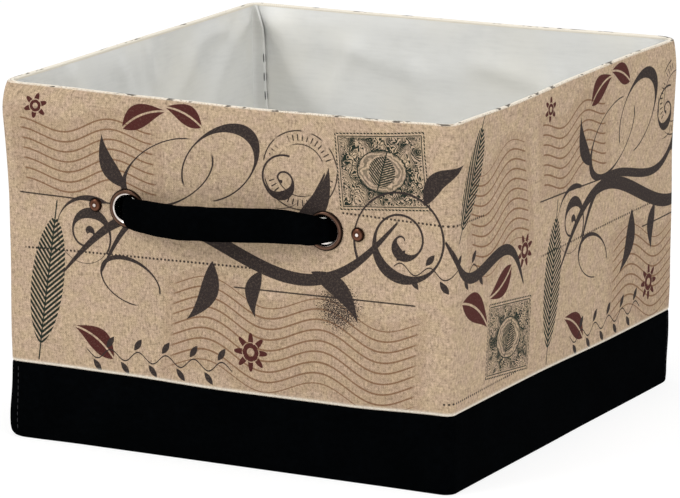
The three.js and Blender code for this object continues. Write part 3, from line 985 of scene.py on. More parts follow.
# The print's motifs, by kind. Each row has the arguments of the Press method for its kind, with lengths in
# millimetres and turns in degrees.
WAVE_ROWS = [
    (222, 92, -4, 96, 29, 7.2, 7.0, 88),
    (64, 208, 4, 52, 24, 7.2, 5.0, 70),
    (408, 186, 7, 44, 36, 7.2, 6.0, 78),
]
DOTTED_ROWS = [(104, 140, 1.2, 92, 3.0, 0.85), (322, 186, -1.0, 64, 3.0, 0.85), (386, 64, 0.6, 52, 3.0, 0.8)]
RULE_ROWS = [(246, 128, 0.8, 70, 0.55), (58, 176, -1.4, 50, 0.55)]
LEAF_ROWS = [
    (108, 238, 24, 19, 8.0, 4.0, 0.6),
    (138, 243, 158, 16, 7.0, -3.0, 0.6),
    (372, 118, -32, 24, 9.5, 5.0, 0.7),
    (410, 134, 204, 20, 8.0, 4.0, 0.7),
    (66, 76, 148, 19, 8.0, -4.0, 0.6),
]
ROSETTE_ROWS = [(190, 84, 13, 8, 0), (448, 148, 12, 8, 20), (24, 240, 9, 6, 20)]
STAMP_ROWS = [(290, 219, 5, 34, 27), (424, 92, -6, 33, 26)]
FEATHER_ROWS = [(30, 116, 82, 46, 13, 4.0, 1.1, 0.62), (366, 214, 66, 36, 11, 3.8, 1.1, 0.62)]
VINE_ROWS = [(118, 70, 1.5, 58, 22, 3.4, 5.2), (342, 152, -2.5, 44, 22, 3.4, 5.2)]
SWASH_ROWS = [
    (172, 154, 13, 132, -30, 5.0, 0.8),
    (160, 170, 26, 96, -24, 3.2, 0.7),
    (392, 150, -24, 60, 16, 4.4, 0.7),
]
SPIRAL_ROWS = [
    (306, 172, 15.5, 2.3, 30, 4.0, 0.8, 215, 1),
    (62, 152, 13, 2.0, 140, 3.8, 0.75, 300, -1),
    (214, 206, 12, 1.8, 250, 3.4, 0.75, 30, -1),
]
LOOP_ROWS = [
    (126, 202, 38, 1.8, 28, 3.2, 0.75, 200, (20.0, 0.9)),
    (166, 212, 33, 1.5, 40, 4.8, 0.75, 20, (200.0, 0.85)),
    (96, 122, 24, 1.6, -20, 2.2, 0.7, 120, (330.0, 0.8)),
]
PEN_LEAF_ROWS = [
    (236, 196, 58, 26, 7.0, -7.0),
    (150, 122, 244, 24, 6.6, 7.0),
    (254, 128, -42, 24, 6.4, 7.0),
    (84, 206, 116, 21, 6.0, 6.0),
    (196, 124, 262, 17, 5.4, -5.0),
    (336, 212, 44, 20, 6.0, 6.0),
]
POSTMARK = (228, 214, 28, 40)
SPLATTER = (258.0, 122.0, 24.0)


def printed_colour(look, finish, body):
    """Canvas and its print: pen flourishes, wavy lines, stamps, dotted rules, feathers, leaves, rosettes."""
    where, run, up = look.cloth_place()
    front_start = side_start(body, WALLS.index("front")) - body.corner_radius * math.pi / 4
    repeat = 1000 * perimeter(body) / finish.pattern_repeat
    across = ((run - front_start) * 1000.0).wrapped(repeat)
    press = Press(look, across, up * 1000.0 + 1000 * SLEEVE_LOW.z, where)
    shown = raw_canvas(look, finish, where)

    # Each group of wavy lines stands on a faint tint, which one very broad line makes
    tints = [(*row[:3], row[3] + 8, row[4] + 6, 500.0, *row[6:], 200.0) for row in WAVE_ROWS]
    shown = look.mixed(press.ink(press.waves, tints) * 0.16, shown, finish.wave_ink)
    shown = press.printed(shown, press.ink(press.waves, WAVE_ROWS), 0.8, finish.wave_ink)

    rules = press.ink(press.dotted, DOTTED_ROWS).most(press.ink(press.rule, RULE_ROWS))
    rules = rules.most(press.postmark(*POSTMARK) * look.noise(where, 60.0).rising(0.42, 0.5))
    shown = press.printed(shown, rules, 0.9, finish.rule_ink)

    leaves = press.ink(press.leaf, LEAF_ROWS).most(press.ink(press.rosette, ROSETTE_ROWS))
    shown = press.printed(shown, leaves, 0.97, finish.leaf_ink)

    strokes = look.noise(where, 110.0, 2.0, 0.55, 0.5)
    stamps = press.ink(press.stamp, [(*row, strokes) for row in STAMP_ROWS])
    stamps = stamps.most(press.ink(press.feather, FEATHER_ROWS))
    shown = press.printed(shown, stamps, 0.97, finish.stamp_ink)

    pen = press.ink(press.vine, VINE_ROWS).most(press.ink(press.swash, SWASH_ROWS))
    pen = pen.most(press.ink(press.spiral, SPIRAL_ROWS)).most(press.ink(press.oval, LOOP_ROWS))
    pen = pen.most(press.ink(press.leaf, PEN_LEAF_ROWS)).most(press.splatter(*SPLATTER))
    return press.printed(shown, pen, 0.95, finish.pen_ink)


# Layers of the canvas's grain: slubs along and across, flecks, lumps and clouds. Each row has the layer's
# share, and the scale, detail and roughness of its noise.
CANVAS_GRAIN = (
    (1.4, (760.0, 240.0, 1.0), 2.0, 0.6), (1.0, (320.0, 800.0, 1.0), 2.0, 0.6), (0.8, 620.0, 2.0, 0.6),
    (0.5, 250.0, 2.0, 0.6), (0.22, 34.0, 3.0, 0.55),
)
# What the grain multiplies the canvas's colour by
CANVAS_LIGHT = (
    (0.14, (0.62, 0.61, 0.60)), (0.40, (0.93, 0.93, 0.92)), (0.60, (1.06, 1.06, 1.06)),
    (0.88, (1.34, 1.34, 1.35)),
)
YELLOWED, CREAM = (1.01, 1.03, 0.96), (1.03, 1.0, 0.93)  # what multiplies cloth where it is yellower


def raw_canvas(look, finish, where):
    """The unprinted canvas, with its grain and yellower places."""
    shade = 0.5
    for share, scale, detail, roughness in CANVAS_GRAIN:
        shade = (look.noise(where, scale, detail, roughness) - 0.5) * share + shade
    yellower = look.noise(where, 90.0).rising(0.35, 0.65)
    warm = look.mixed(yellower, finish.canvas, scaled(finish.canvas, YELLOWED))
    return look.mixed(1.0, warm, look.ramp(shade, *CANVAS_LIGHT), "MULTIPLY")


def canvas_material(finish, body):
    """Printed canvas, with a painted highlight on its folds over the rim and where it turns in at the band."""
    look = Look("printed_canvas", Roughness=0.92, Specular_IOR_Level=0.16)
    shown = printed_colour(look, finish, body)
    where, run, up = look.cloth_place()
    wander = look.noise(where, 260.0)
    weave = woven_height(run, up, 0.00085, wander)
    knots = look.noise(where, 900.0)
    raised_knots = look.noise(where, 800.0).rising(0.25, 0.6)
    wall = HEIGHT - body.rim_roll - SLEEVE_LOW.z - body.seam_roll
    fold = math.pi / 2 * body.seam_roll + wall + math.pi / 4 * body.rim_roll
    # Painted highlight along the rim's fold, broken up by the raised knots, and on the hem down inside the rim
    rim_highlight = up.rising(fold - 0.0011, fold + 0.0002) * raised_knots
    hem_highlight = up.rising(fold + 0.0004, fold + 0.0014)
    shown = look.mixed((rim_highlight * 0.85).most(hem_highlight * 0.9), shown, finish.rim)
    # Scraps of the print show on the fold
    marks = look.noise(where, (85.0, 160.0, 1.0), 2.0, 0.6).rising(0.58, 0.62)
    marks = marks * up.rising(fold - 0.0008, fold - 0.0002) * up.falling(fold + 0.0030, fold + 0.0036)
    shown = look.mixed(marks * 0.85, shown, finish.rule_ink)
    # Painted highlight on the canvas's roll just above the band's seam, broken up by the raised knots
    seam_highlight = up.falling(0.0020, 0.0042) * 0.45 + up.falling(0.0022, 0.0028) * raised_knots * 0.4
    shown = look.mixed(seam_highlight, shown, finish.rim)
    dark_threads = look.mixed(weave, (0.74, 0.72, 0.7), (1, 1, 1))
    shown = look.mixed(0.35, shown, dark_threads, "MULTIPLY")
    look.to_shader(Base_Color=shown, Roughness=weave * -0.1 + 0.96)
    look.bump(weave * 0.7 + knots * 0.6 + wander * 0.5, 0.00022, 0.8)
    return look.material


def black_material(name, finish, lift=1.0):
    """Black cotton, a little greyer on its threads' crowns and where it is rubbed. `lift` lightens it."""
    look = Look(name, Roughness=0.9, Specular_IOR_Level=0.003)
    where, run, up = look.cloth_place()
    weave = woven_height(run, up, 0.0007, look.noise(where, 300.0))
    lint = look.noise(where, 240.0, 4.0, 0.65)
    shade = weave * 0.5 + (lint - 0.5) * 0.8 + (look.noise(where, 30.0, 3.0) - 0.5) * 0.5 + 0.25
    stops = [(at, scaled(finish.black, share * lift)) for at, share in ((0.0, 0.35), (0.5, 0.9), (1.0, 2.6))]
    look.to_shader(Base_Color=look.ramp(shade, *stops), Roughness=lint * 0.2 + 0.8)
    look.bump(weave * 0.6 + lint * 0.7, 0.00025, 0.9)
    return look.material


def lining_material(finish, own_map=True):
    """Off-white cloth with a fine weave, faint mottling and streaks, and creamier places. A piece that isn't
    cut as a flat cloth has no map of its own, and is woven level."""
    name = "lining_cloth" if own_map else "lining_cloth_flat"
    look = Look(name, Roughness=0.85, Specular_IOR_Level=0.25)
    if own_map:
        where, run, up = look.cloth_place()
    else:
        where = look.solid_place()
        run, up, _ = look.parts(where)
    weave = woven_height(run, up, 0.0006)
    mottle = look.noise(where, 22.0, 4.0, 0.6)
    streak = look.noise(where, (60.0, 420.0, 60.0), 2.0)
    shade = (mottle - 0.5) * 0.9 + (streak - 0.5) * 0.4 + weave * 0.12 + 0.44
    stops = [(at, scaled(finish.lining, share)) for at, share in ((0.1, 0.86), (0.5, 1.0), (0.9, 1.06))]
    aged = look.noise(where, 11.0).rising(0.42, 0.66)
    colours = look.mixed(aged * 0.5, look.ramp(shade, *stops), CREAM, "MULTIPLY")
    look.to_shader(Base_Color=colours, Roughness=mottle * 0.2 + 0.72)
    look.bump(weave * 0.35 + mottle * 0.8 + streak * 0.3, 0.0003, 0.5)
    return look.material


def thread_material(name, shade):
    """Sewing thread, with its strands lighter and darker."""
    look = Look(name, Roughness=0.6, Specular_IOR_Level=0.3)
    where = look.solid_place()
    strand = look.noise(where, 2600.0)
    look.to_shader(Base_Color=look.mixed(strand, scaled(shade, 0.6), scaled(shade, 1.5)))
    look.bump(strand, 0.0001, 0.6)
    return look.material


def chipboard_material(finish):
    """Grey-brown pressed board with flecks and fibres."""
    look = Look("chipboard", Roughness=0.9)
    where = look.solid_place()
    fibres = look.noise(where, (180.0, 180.0, 620.0), 4.0, 0.7)
    flecks = look.noise(where, 700.0).rising(0.62, 0.7)
    base = look.mixed(fibres, scaled(finish.board, 0.72), scaled(finish.board, 1.2))
    colours = look.mixed(flecks * 0.5, base, scaled(finish.board, 0.35))
    look.to_shader(Base_Color=colours, Roughness=fibres * 0.2 + 0.78)
    look.bump(fibres + flecks * 0.3, 0.0002, 0.5)
    return look.material


# Colour of the highlight painted on the metal, inside a radius about each piece's middle
PAINTED_HIGHLIGHT = (0.86, 0.79, 0.74)


def metal_material(name, shade, dark, middle, edge, highlight_radius):
    """Plated sheet metal with fine scratches and tarnish, which is `dark` from 0 to 1. Each piece is round
    about `middle` along X on either side, with painted shade beyond the radius `edge`, a painted highlight
    inside the radius `highlight_radius`, and a thin ring of painted shade beside the highlight."""
    look = Look(name, Metallic=1.0)
    where = look.solid_place()
    x, _, z = look.parts(where)
    beside, above = abs(x) - middle, z - HANDLE_Z
    radius = (beside * beside + above * above) ** 0.5
    tarnish = look.noise(where, 150.0, 4.0, 0.6).rising(0.42, 0.62)
    scratch = look.noise(where, (300.0, 300.0, 3600.0), 3.0)
    # A thin ring of painted shade beside the painted highlight
    groove_shade = abs(radius - (highlight_radius + 0.0009)).falling(0.0002, 0.0005)
    with_groove_shade = look.mixed(groove_shade * 0.7, shade, scaled(shade, 0.3))
    # Painted highlight inside the inner radius: a crescent on an eyelet's inner edge, a glint dot in a rivet's
    # middle
    bright = look.mixed(radius.falling(highlight_radius, highlight_radius + 0.0004), with_groove_shade, PAINTED_HIGHLIGHT)
    colours = look.mixed(tarnish * dark, bright, scaled(shade, 0.4))
    # Painted shade: a nearly black outline round each piece's outer edge
    outer = radius.rising(edge - 0.0008, edge + 0.0004)
    look.to_shader(Base_Color=look.mixed(outer, colours, scaled(shade, 0.08)))
    look.to_shader(Roughness=scratch * 0.16 + tarnish * 0.12 + 0.07)
    look.bump(scratch * 0.5 + tarnish * 0.5, 0.00004, 0.4)
    return look.material


# Pieces


def values_of(context):
    """The user's values for the body, the fittings and the finish."""
    return context.scene.basket_body, context.scene.basket_fittings, context.scene.basket_finish


class BASKET_OT_printed_sleeve(bpy.types.Operator):
    """Wraps the printed canvas round the walls, over the rim and a little way down inside it"""

    bl_idname = "basket.printed_sleeve"
    bl_label = "Printed sleeve"

    def execute(self, context):
        body, fittings, finish = values_of(context)
        columns, profile = ring_columns(body), sleeve_profile(body)
        piece, column, row = flat_cloth("canvas_sleeve", columns[:, 5], profile[:, 2])
        wrap(body, piece, column, row, columns, profile, sleeve_outward(body))
        close_ring(piece)
        thicken(piece, body.canvas)
        drill(piece, body, fittings, FRONT - body.canvas, FRONT + 3 * body.canvas)
        smooth(piece)
        finish_piece(piece, canvas_material(finish, body), replaced=["printed_sleeve"])
        return {"FINISHED"}


class BASKET_OT_black_band(bpy.types.Operator):
    """Wraps the black band round the foot of the basket, turns it under and topstitches it"""

    bl_idname = "basket.black_band"
    bl_label = "Black band"

    def execute(self, context):
        body, fittings, finish = values_of(context)
        columns, profile = ring_columns(body), band_profile(body)
        piece, column, row = flat_cloth("base_band", columns[:, 5], profile[:, 2])
        outward = band_outward(body)
        wrap(body, piece, column, row, columns, profile, outward)
        close_ring(piece)
        thicken(piece, body.canvas)
        smooth(piece)
        finish_piece(piece, black_material("black_canvas", finish), replaced=["black_band"])
        stitches = self.topstitching(body, fittings, outward)
        finish_piece(stitches, thread_material("black_thread", finish.black_thread))
        return {"FINISHED"}

    def topstitching(self, body, fittings, outward):
        """Rows down both sides of the two corners where the band's ends are joined."""
        places, along, facing = [], [], []
        pitch = fittings.stitch + fittings.stitch_gap
        heights = np.arange(body.base_corner_height, BAND_TOP - 2 * body.seam_roll, pitch)
        for side, at_end in ((0, True), (1, False), (2, True), (3, False)):
            start, end, angle, span = wall_line(body, side)
            share = abs(at_end - fittings.beside / span)
            run = side_start(body, side) + share * span
            column = np.tile((*(start + (end - start) * share), angle, share, span, run), (len(heights), 1))
            here = laid(body, column, 0 * heights, heights, outward)
            ahead = laid(body, column, 0 * heights, heights + pitch / 4, outward)
            places.extend(here)
            along.extend(ahead - here)
            facing.extend([(math.cos(angle), math.sin(angle), 0)] * len(heights))
        return stitch_row("band_topstitching", places, along, facing, fittings)


class BASKET_OT_underside(bpy.types.Operator):
    """Makes the black canvas panel under the basket"""

    bl_idname = "basket.underside"
    bl_label = "Underside"

    def execute(self, context):
        piece = floor_cloth("underside_panel", PANEL_LOW, PANEL_HIGH, corner=0.0096, ripple=0.0003)
        cloth = black_material("black_canvas_under", context.scene.basket_finish)
        finish_piece(piece, cloth, replaced=["bottom_panel"])
        return {"FINISHED"}


def bevel_edges(piece):
    """Takes the sharpness off a flat piece's edges."""
    apply_modifier(piece, "BEVEL", width=0.0002, segments=1, limit_method="ANGLE")


def floor_cloth(name, low, high, corner, ripple):
    """A level cloth with rounded corners and a faint ripple, in the space between two corners of a box."""
    steps = 36
    across = np.linspace(low.x, high.x, steps + 1)
    along = np.linspace(low.y, high.y, steps + 1)
    piece, column, row = flat_cloth(name, across, along)
    x, y = across[column], along[row]
    first, last = np.array(low.xy), np.array(high.xy)
    middle, half = (first + last) / 2, (last - first) / 2
    at = np.column_stack([x, y]) - middle
    past = np.clip(np.abs(at) - (half - corner), 0, None)
    outside = np.maximum(np.hypot(*past.T) / corner, 1)
    square = np.abs(at) - past
    pulled = np.where((past > 0).all(axis=1)[:, None], square + past / outside[:, None], np.abs(at))
    x, y = (np.sign(at) * pulled + middle).T
    inside = np.minimum(half[0] - np.abs(x - middle[0]), half[1] - np.abs(y - middle[1]))
    wave = ripple * (0.5 + 0.5 * np.sin(x / 0.023 + 2 * np.sin(y / 0.05)) * np.sin(y / 0.031))
    z = np.full_like(x, low.z) + wave * np.clip(inside / EDGE_FADE, 0, 1)
    move_points(piece, np.column_stack([x, y, z]))
    if piece.data.polygons[0].normal.z > 0:
        whole_mesh(piece, bpy.ops.mesh.flip_normals)
    thicken(piece, high.z - low.z - ripple)
    bevel_edges(piece)
    smooth(piece)
    return piece


# Folds of the loose lining. The two ends are shares of the wall's span and height, and then come the fold's
# height, as a share of the slack, and its width. A wall's span starts at its first corner.
LINING_FOLDS = {
    "back": [
        ((0.98, 0.97), (0.84, 0.90), 1.0, 0.015), ((0.95, 0.93), (0.80, 0.66), 0.8, 0.012),
        ((0.75, 0.88), (0.83, 0.62), 0.5, 0.007), ((0.76, 0.885), (0.40, 0.865), 0.42, 0.010),
        ((0.42, 0.87), (0.04, 0.875), 0.45, 0.010), ((0.60, 0.82), (0.50, 0.55), 0.45, 0.012),
        ((0.25, 0.84), (0.33, 0.60), 0.45, 0.012), ((0.02, 0.95), (0.12, 0.70), 0.7, 0.010),
        ((0.45, 0.45), (0.90, 0.20), 0.7, 0.016), ((0.10, 0.50), (0.40, 0.15), 0.7, 0.016),
    ],
    "left": [
        ((0.02, 0.965), (0.20, 0.74), 0.8, 0.009), ((0.14, 0.95), (0.30, 0.90), 0.7, 0.007),
        ((0.47, 0.96), (0.44, 0.86), 0.8, 0.004), ((0.52, 0.965), (0.51, 0.89), 0.6, 0.003),
        ((0.58, 0.92), (0.48, 0.76), 0.7, 0.007), ((0.30, 0.86), (0.42, 0.64), 0.5, 0.010),
        ((0.78, 0.96), (0.66, 0.72), 0.6, 0.009), ((0.20, 0.45), (0.70, 0.20), 0.7, 0.016),
    ],
    "right": [
        ((0.97, 0.96), (0.80, 0.76), 0.8, 0.009), ((0.04, 0.96), (0.20, 0.72), 0.8, 0.009),
        ((0.30, 0.90), (0.66, 0.87), 0.6, 0.008), ((0.52, 0.95), (0.50, 0.84), 0.6, 0.004),
        ((0.30, 0.50), (0.70, 0.20), 0.7, 0.016),
    ],
    "front": [
        ((0.02, 0.96), (0.14, 0.78), 0.8, 0.009), ((0.98, 0.96), (0.86, 0.78), 0.8, 0.009),
        ((0.36, 0.90), (0.64, 0.88), 0.5, 0.008), ((0.36, 0.50), (0.64, 0.22), 0.7, 0.016),
        ((0.10, 0.40), (0.36, 0.16), 0.6, 0.014),
    ],
}
# The lining's corner seams: the corner's signs, and how far each is folded out of its diagonal, in degrees
SEAM_FOLDS = {
    "back_left": ((-1, 1), 36),
    "back_right": ((1, 1), 24),
    "front_left": ((-1, -1), -20),
    "front_right": ((1, -1), 18),
}
SEAM_FOOT = ((-0.0030, -0.0003), (-0.0016, 0.0009), (-0.0010, 0.0024))  # beside and off the corner
SEAM_CLOTH = 0.0004  # thickness of a seam allowance
SEAM_STITCH = 2.2  # size of a seam's stitches over that of the topstitches


class BASKET_OT_lining(bpy.types.Operator):
    """Hangs the four loose lining walls, lays the lining's bottom, and sews the four corner seams"""

    bl_idname = "basket.lining"
    bl_label = "Lining"

    def execute(self, context):
        body, fittings, finish = values_of(context)
        cloth = lining_material(finish)
        for side in WALLS:
            self.wall(side, body, fittings, cloth)
        low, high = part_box("lining_bottom")
        bottom = floor_cloth("lining_floor", low, high, corner=0.0054, ripple=0.0002)
        finish_piece(bottom, cloth, replaced=["lining_bottom"])
        self.seams(body, fittings, finish, cloth)
        return {"FINISHED"}

    def wall(self, side, body, fittings, cloth):
        low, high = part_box(f"lining_{side}")
        columns = wall_columns(body, WALLS.index(side), count=80, corner_count=4)
        inset = body.canvas + body.gap + body.board + body.gap
        top = HEIGHT - body.rim_roll - body.rim_hem
        heights = np.linspace(low.z, top, round((top - low.z) / body.cloth_step) + 1)
        profile = with_run([(inset, z) for z in heights])
        piece, column, row = flat_cloth(f"lining_cloth_{side}", columns[:, 5], profile[:, 2])

        def outward(place, facing, share, distance, run, z, mx):
            hem = np.clip((top - z) / 0.010, 0, 1) ** 0.7 * np.clip((z - low.z) / 0.02, 0, 1)
            close = np.clip(distance / 0.012, 0, 1)
            calm = fastening_calm(run - columns[0, 4] / 2, z) if side == "front" else 1
            slack = self.slack(side, share * columns[0, 4], z, columns[0, 4])
            return -slack * body.lining_slack * hem * close * calm

        wrap(body, piece, column, row, columns, profile, outward)
        thicken(piece, body.lining)
        if side == "front":
            drill(piece, body, fittings, FRONT + inset - body.gap, FRONT + inset + 4 * body.lining)
        smooth(piece, 60)
        finish_piece(piece, cloth, replaced=[f"lining_{side}"])

    def slack(self, side, along, z, span):
        """How far the cloth stands off its board at a place on its wall, 0 to about 1."""
        total = 0.14 * (1 + np.sin(along / 0.037 + z / 0.12) * np.sin(z / 0.036 + 1.3))
        total += 0.035 * (1 + np.sin(along / 0.0105 + 3 * np.sin(z / 0.04)))
        for (s0, h0), (s1, h1), lift, width in LINING_FOLDS[side]:
            across, above = along - s0 * span, z - h0 * HEIGHT
            way = np.array([s1 * span, h1 * HEIGHT]) - (s0 * span, h0 * HEIGHT)
            reach = np.hypot(*way)
            past = (across * way[0] + above * way[1]) / reach
            held = np.clip(past, 0, reach)
            bend = 0.10 * reach * np.sin(math.pi * np.clip(past / reach, 0, 1))
            off = (across * way[1] - above * way[0]) / reach + bend
            beyond = past - held
            wide = np.where(off > 0, 1.5 * width, 0.75 * width) * (0.7 + 0.6 * held / reach)
            ridge = np.exp(-((off / wide) ** 2 + (beyond / (1.5 * width)) ** 2))
            total += lift * ridge * (1 - 0.45 * held / reach)
        return total

    def seams(self, body, fittings, finish, cloth):
        thread = thread_material("lining_thread", finish.lining_thread)
        for name, (corner, fold) in SEAM_FOLDS.items():
            low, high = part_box(f"lining_seam_{name}")
            heights = np.linspace(low.z, high.z, 62)
            half = [*SEAM_FOOT, (-0.0009, 0.75 * body.seam_reach), (-0.0010, 0.93 * body.seam_reach)]
            other_half = [(-offset, rise) for offset, rise in reversed(half)]
            ridge = np.array([*half, (0, body.seam_reach), *other_half])
            across = lengths_along(ridge)
            piece, column, row = flat_cloth(f"corner_seam_{name}", across, heights - low.z)
            offset, rise = ridge[column].T
            move_points(piece, self.on_fin(body, corner, fold, heights[row], offset, rise, high.z))
            bpy.context.view_layer.update()
            face_from(piece, (corner[0] * WIDTH / 2, corner[1] * DEPTH / 2, HEIGHT / 2))
            thicken(piece, SEAM_CLOTH, even=False)
            smooth(piece, 60)
            finish_piece(piece, cloth, replaced=[f"lining_seam_{name}"])
            stitches = self.seam_stitches(name, body, fittings, corner, fold, low.z, high.z)
            finish_piece(stitches, thread)

    def on_fin(self, body, corner, fold, z, offset, rise, top):
        """Places on a seam allowance, which stands folded to one side in its corner and narrows at the rim."""
        place = place_round(np.full_like(z, corner[0]), np.full_like(z, corner[1]))
        radius = corner_radius_at(body, z, place)
        inner = body.canvas + 2 * body.gap + body.board + body.lining
        centre = np.array(corner) * np.column_stack([WIDTH / 2 - radius, DEPTH / 2 - radius])
        base = radius - inner + standing(body, place, 0 * z, z, inner)
        diagonal = math.atan2(corner[1], corner[0])
        loose = np.clip((top - z) / 0.08, 0, 1) * np.clip((z - 0.09) / 0.06, 0, 1)
        turn = math.radians(fold) * (0.75 + 0.4 * loose) + 0.06 * np.sin(z / 0.011)
        narrow = 0.1 + 0.9 * np.clip((top - z) / 0.017, 0, 1) ** 0.8 + 0.35 * loose
        grown = np.where(rise > 0, rise * narrow, rise)
        spread = np.clip(offset / base, -math.pi / 4, math.pi / 4)
        past = offset - spread * base
        out = pointing(diagonal + spread)
        on_arc = out * (base - np.minimum(grown, 0))[:, None]
        on_arc += np.column_stack([-out[:, 1], out[:, 0]]) * past[:, None]
        root = pointing(diagonal + 0 * z) * base[:, None]
        inward = pointing(diagonal + math.pi + turn)
        beside = np.column_stack([inward[:, 1], -inward[:, 0]])
        on_blade = root + inward * grown[:, None] + beside * offset[:, None]
        share = np.clip(rise / SEAM_FOOT[-1][1], 0, 1)[:, None]
        flat = centre + on_arc * (1 - share) + on_blade * share
        return np.column_stack([flat, z + raised(place, z)])

    def seam_stitches(self, name, body, fittings, corner, fold, low, high):
        """Stitches on both sides of a seam allowance, near its edge."""
        pitch = 3.1 * (fittings.stitch + fittings.stitch_gap)
        heights = np.arange(high - 0.040, low + pitch, -pitch)
        places, along, facing = [], [], []
        for way in (-1, 1):
            offset = np.full_like(heights, way * 0.00105)
            rise = np.full_like(heights, 0.92 * body.seam_reach)
            here, ahead, middle = [
                self.on_fin(body, corner, fold, z, beside, rise, high)
                for z, beside in ((heights, offset), (heights + pitch / 4, offset), (heights, 0 * offset))
            ]
            places.extend(here)
            along.extend(ahead - here)
            facing.extend(here - middle)
        return stitch_row(f"seam_stitches_{name}", places, along, facing, fittings, SEAM_STITCH)


class BASKET_OT_insert(bpy.types.Operator):
    """Makes the cloth cover of the loose base insert, and dresses the boards"""

    bl_idname = "basket.insert"
    bl_label = "Base insert and boards"
    corner, fold = 0.006, 0.0014  # rounding of the cover's corners, and of its edges round the board
    flap = 0.0195  # width of the cover's edges under the board

    def from_edge(self, x, y):
        """How far a place lies inside the insert's sides."""
        return np.minimum.reduce([x - INSERT_LOW.x, INSERT_HIGH.x - x, y - INSERT_LOW.y, INSERT_HIGH.y - y])

    def execute(self, context):
        body, fittings, finish = values_of(context)
        size = INSERT_HIGH - INSERT_LOW
        place = {"location": (INSERT_LOW + INSERT_HIGH) / 2, "scale": size}
        piece = primitive(bpy.ops.mesh.primitive_cube_add, "insert_cloth", size=1, **place)
        edit(piece)
        select_parts(piece, "EDGE", lambda e: self.upright(piece, e))
        bpy.ops.mesh.bevel(offset=self.corner, segments=6, affect="EDGES")
        select_parts(piece, "FACE", lambda f: abs(f.normal.z) > 0.9)
        bpy.ops.mesh.region_to_loop()
        bpy.ops.mesh.bevel(offset=self.fold, segments=3, affect="EDGES")
        leave_edit()
        self.soften(piece)
        edit(piece)
        select_parts(piece, "FACE", lambda f: f.normal.z < -0.9 and self.from_edge(*f.center.xy) > self.flap)
        bpy.ops.mesh.delete(type="FACE")
        leave_edit()
        thicken(piece, body.lining, even=False)
        smooth(piece)
        cloth = lining_material(finish, own_map=False)
        finish_piece(piece, cloth, body="insert", replaced=["insert_cover"])
        chipboard = chipboard_material(finish)
        insert_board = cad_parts["insert_board"]
        insert_board.data.materials.clear()
        insert_board.data.materials.append(chipboard)
        for side in WALLS:
            self.wall_board(side, body, fittings, chipboard)
        return {"FINISHED"}

    def wall_board(self, side, body, fittings, chipboard):
        """A stiff board in a wall, which leans out at its upper corners as the wall does."""
        low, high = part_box(f"{side}_board")
        columns = wall_columns(body, WALLS.index(side), count=24, corner_count=1)[1:-1]
        inset = body.canvas + body.gap
        flare = HEIGHT - body.flare_height
        heights = [*np.linspace(low.z, flare, 12)[:-1], *np.linspace(flare, high.z, 16)]
        profile = with_run([(inset, z) for z in heights])
        piece, column, row = flat_cloth(f"wall_board_{side}", columns[:, 5], profile[:, 2])
        wrap(body, piece, column, row, columns, profile, lambda *where: 0)
        thicken(piece, body.board)
        bevel_edges(piece)
        if side == "front":
            drill(piece, body, fittings, FRONT, FRONT + 3 * body.board)
        smooth(piece)
        finish_piece(piece, chipboard, replaced=[f"{side}_board"])

    def upright(self, piece, edge):
        a, b = (piece.data.vertices[i].co for i in edge.vertices)
        return abs(a.z - b.z) > 0.001 and (a.xy - b.xy).length < 1e-6

    def soften(self, piece):
        """Divides the cover, and gives its top a faint ripple inside its edges."""
        edit(piece)
        for axis, low, high in ((0, INSERT_LOW.x, INSERT_HIGH.x), (1, INSERT_LOW.y, INSERT_HIGH.y)):
            for place in np.linspace(low, high, 18)[1:-1]:
                bpy.ops.mesh.select_all(action="SELECT")
                normal = Vector((1 - axis, axis, 0))
                bpy.ops.mesh.bisect(plane_co=normal * place, plane_no=normal)
        leave_edit()
        at = points_of(piece)
        x, y, z = at.T
        upper = z > INSERT_HIGH.z - 0.0002
        ripple = 0.0003 * np.sin(x / 0.021 + np.sin(y / 0.03)) * np.sin(y / 0.027) - 0.0002
        at[:, 2] = z + np.where(upper, ripple * np.clip(self.from_edge(x, y) / 0.03, 0, 1), 0)
        move_points(piece, at)


def ringed(name, rings, sides=64):
    """A turned piece along -Y: a circle, extruded and scaled to each ring of (radius, distance out)."""
    (now, out), *others = [(max(radius, 1e-6), out) for radius, out in rings]
    circle = {"vertices": sides, "radius": now, "location": (0, 0, out), "fill_type": "NOTHING"}
    piece = primitive(bpy.ops.mesh.primitive_circle_add, name, **circle)
    edit(piece)
    bpy.ops.mesh.select_all(action="SELECT")
    for radius, further in others:
        bpy.ops.mesh.extrude_region_move(TRANSFORM_OT_translate={"value": (0, 0, further - out)})
        bpy.ops.transform.resize(value=(radius / now, radius / now, 1), center_override=(0, 0, further))
        now, out = radius, further
    bpy.ops.mesh.select_all(action="SELECT")
    bpy.ops.mesh.remove_doubles(threshold=3e-6)
    bpy.ops.mesh.normals_make_consistent(inside=False)
    leave_edit()
    piece.data.transform(Matrix.Rotation(math.pi / 2, 4, "X"))
    return piece


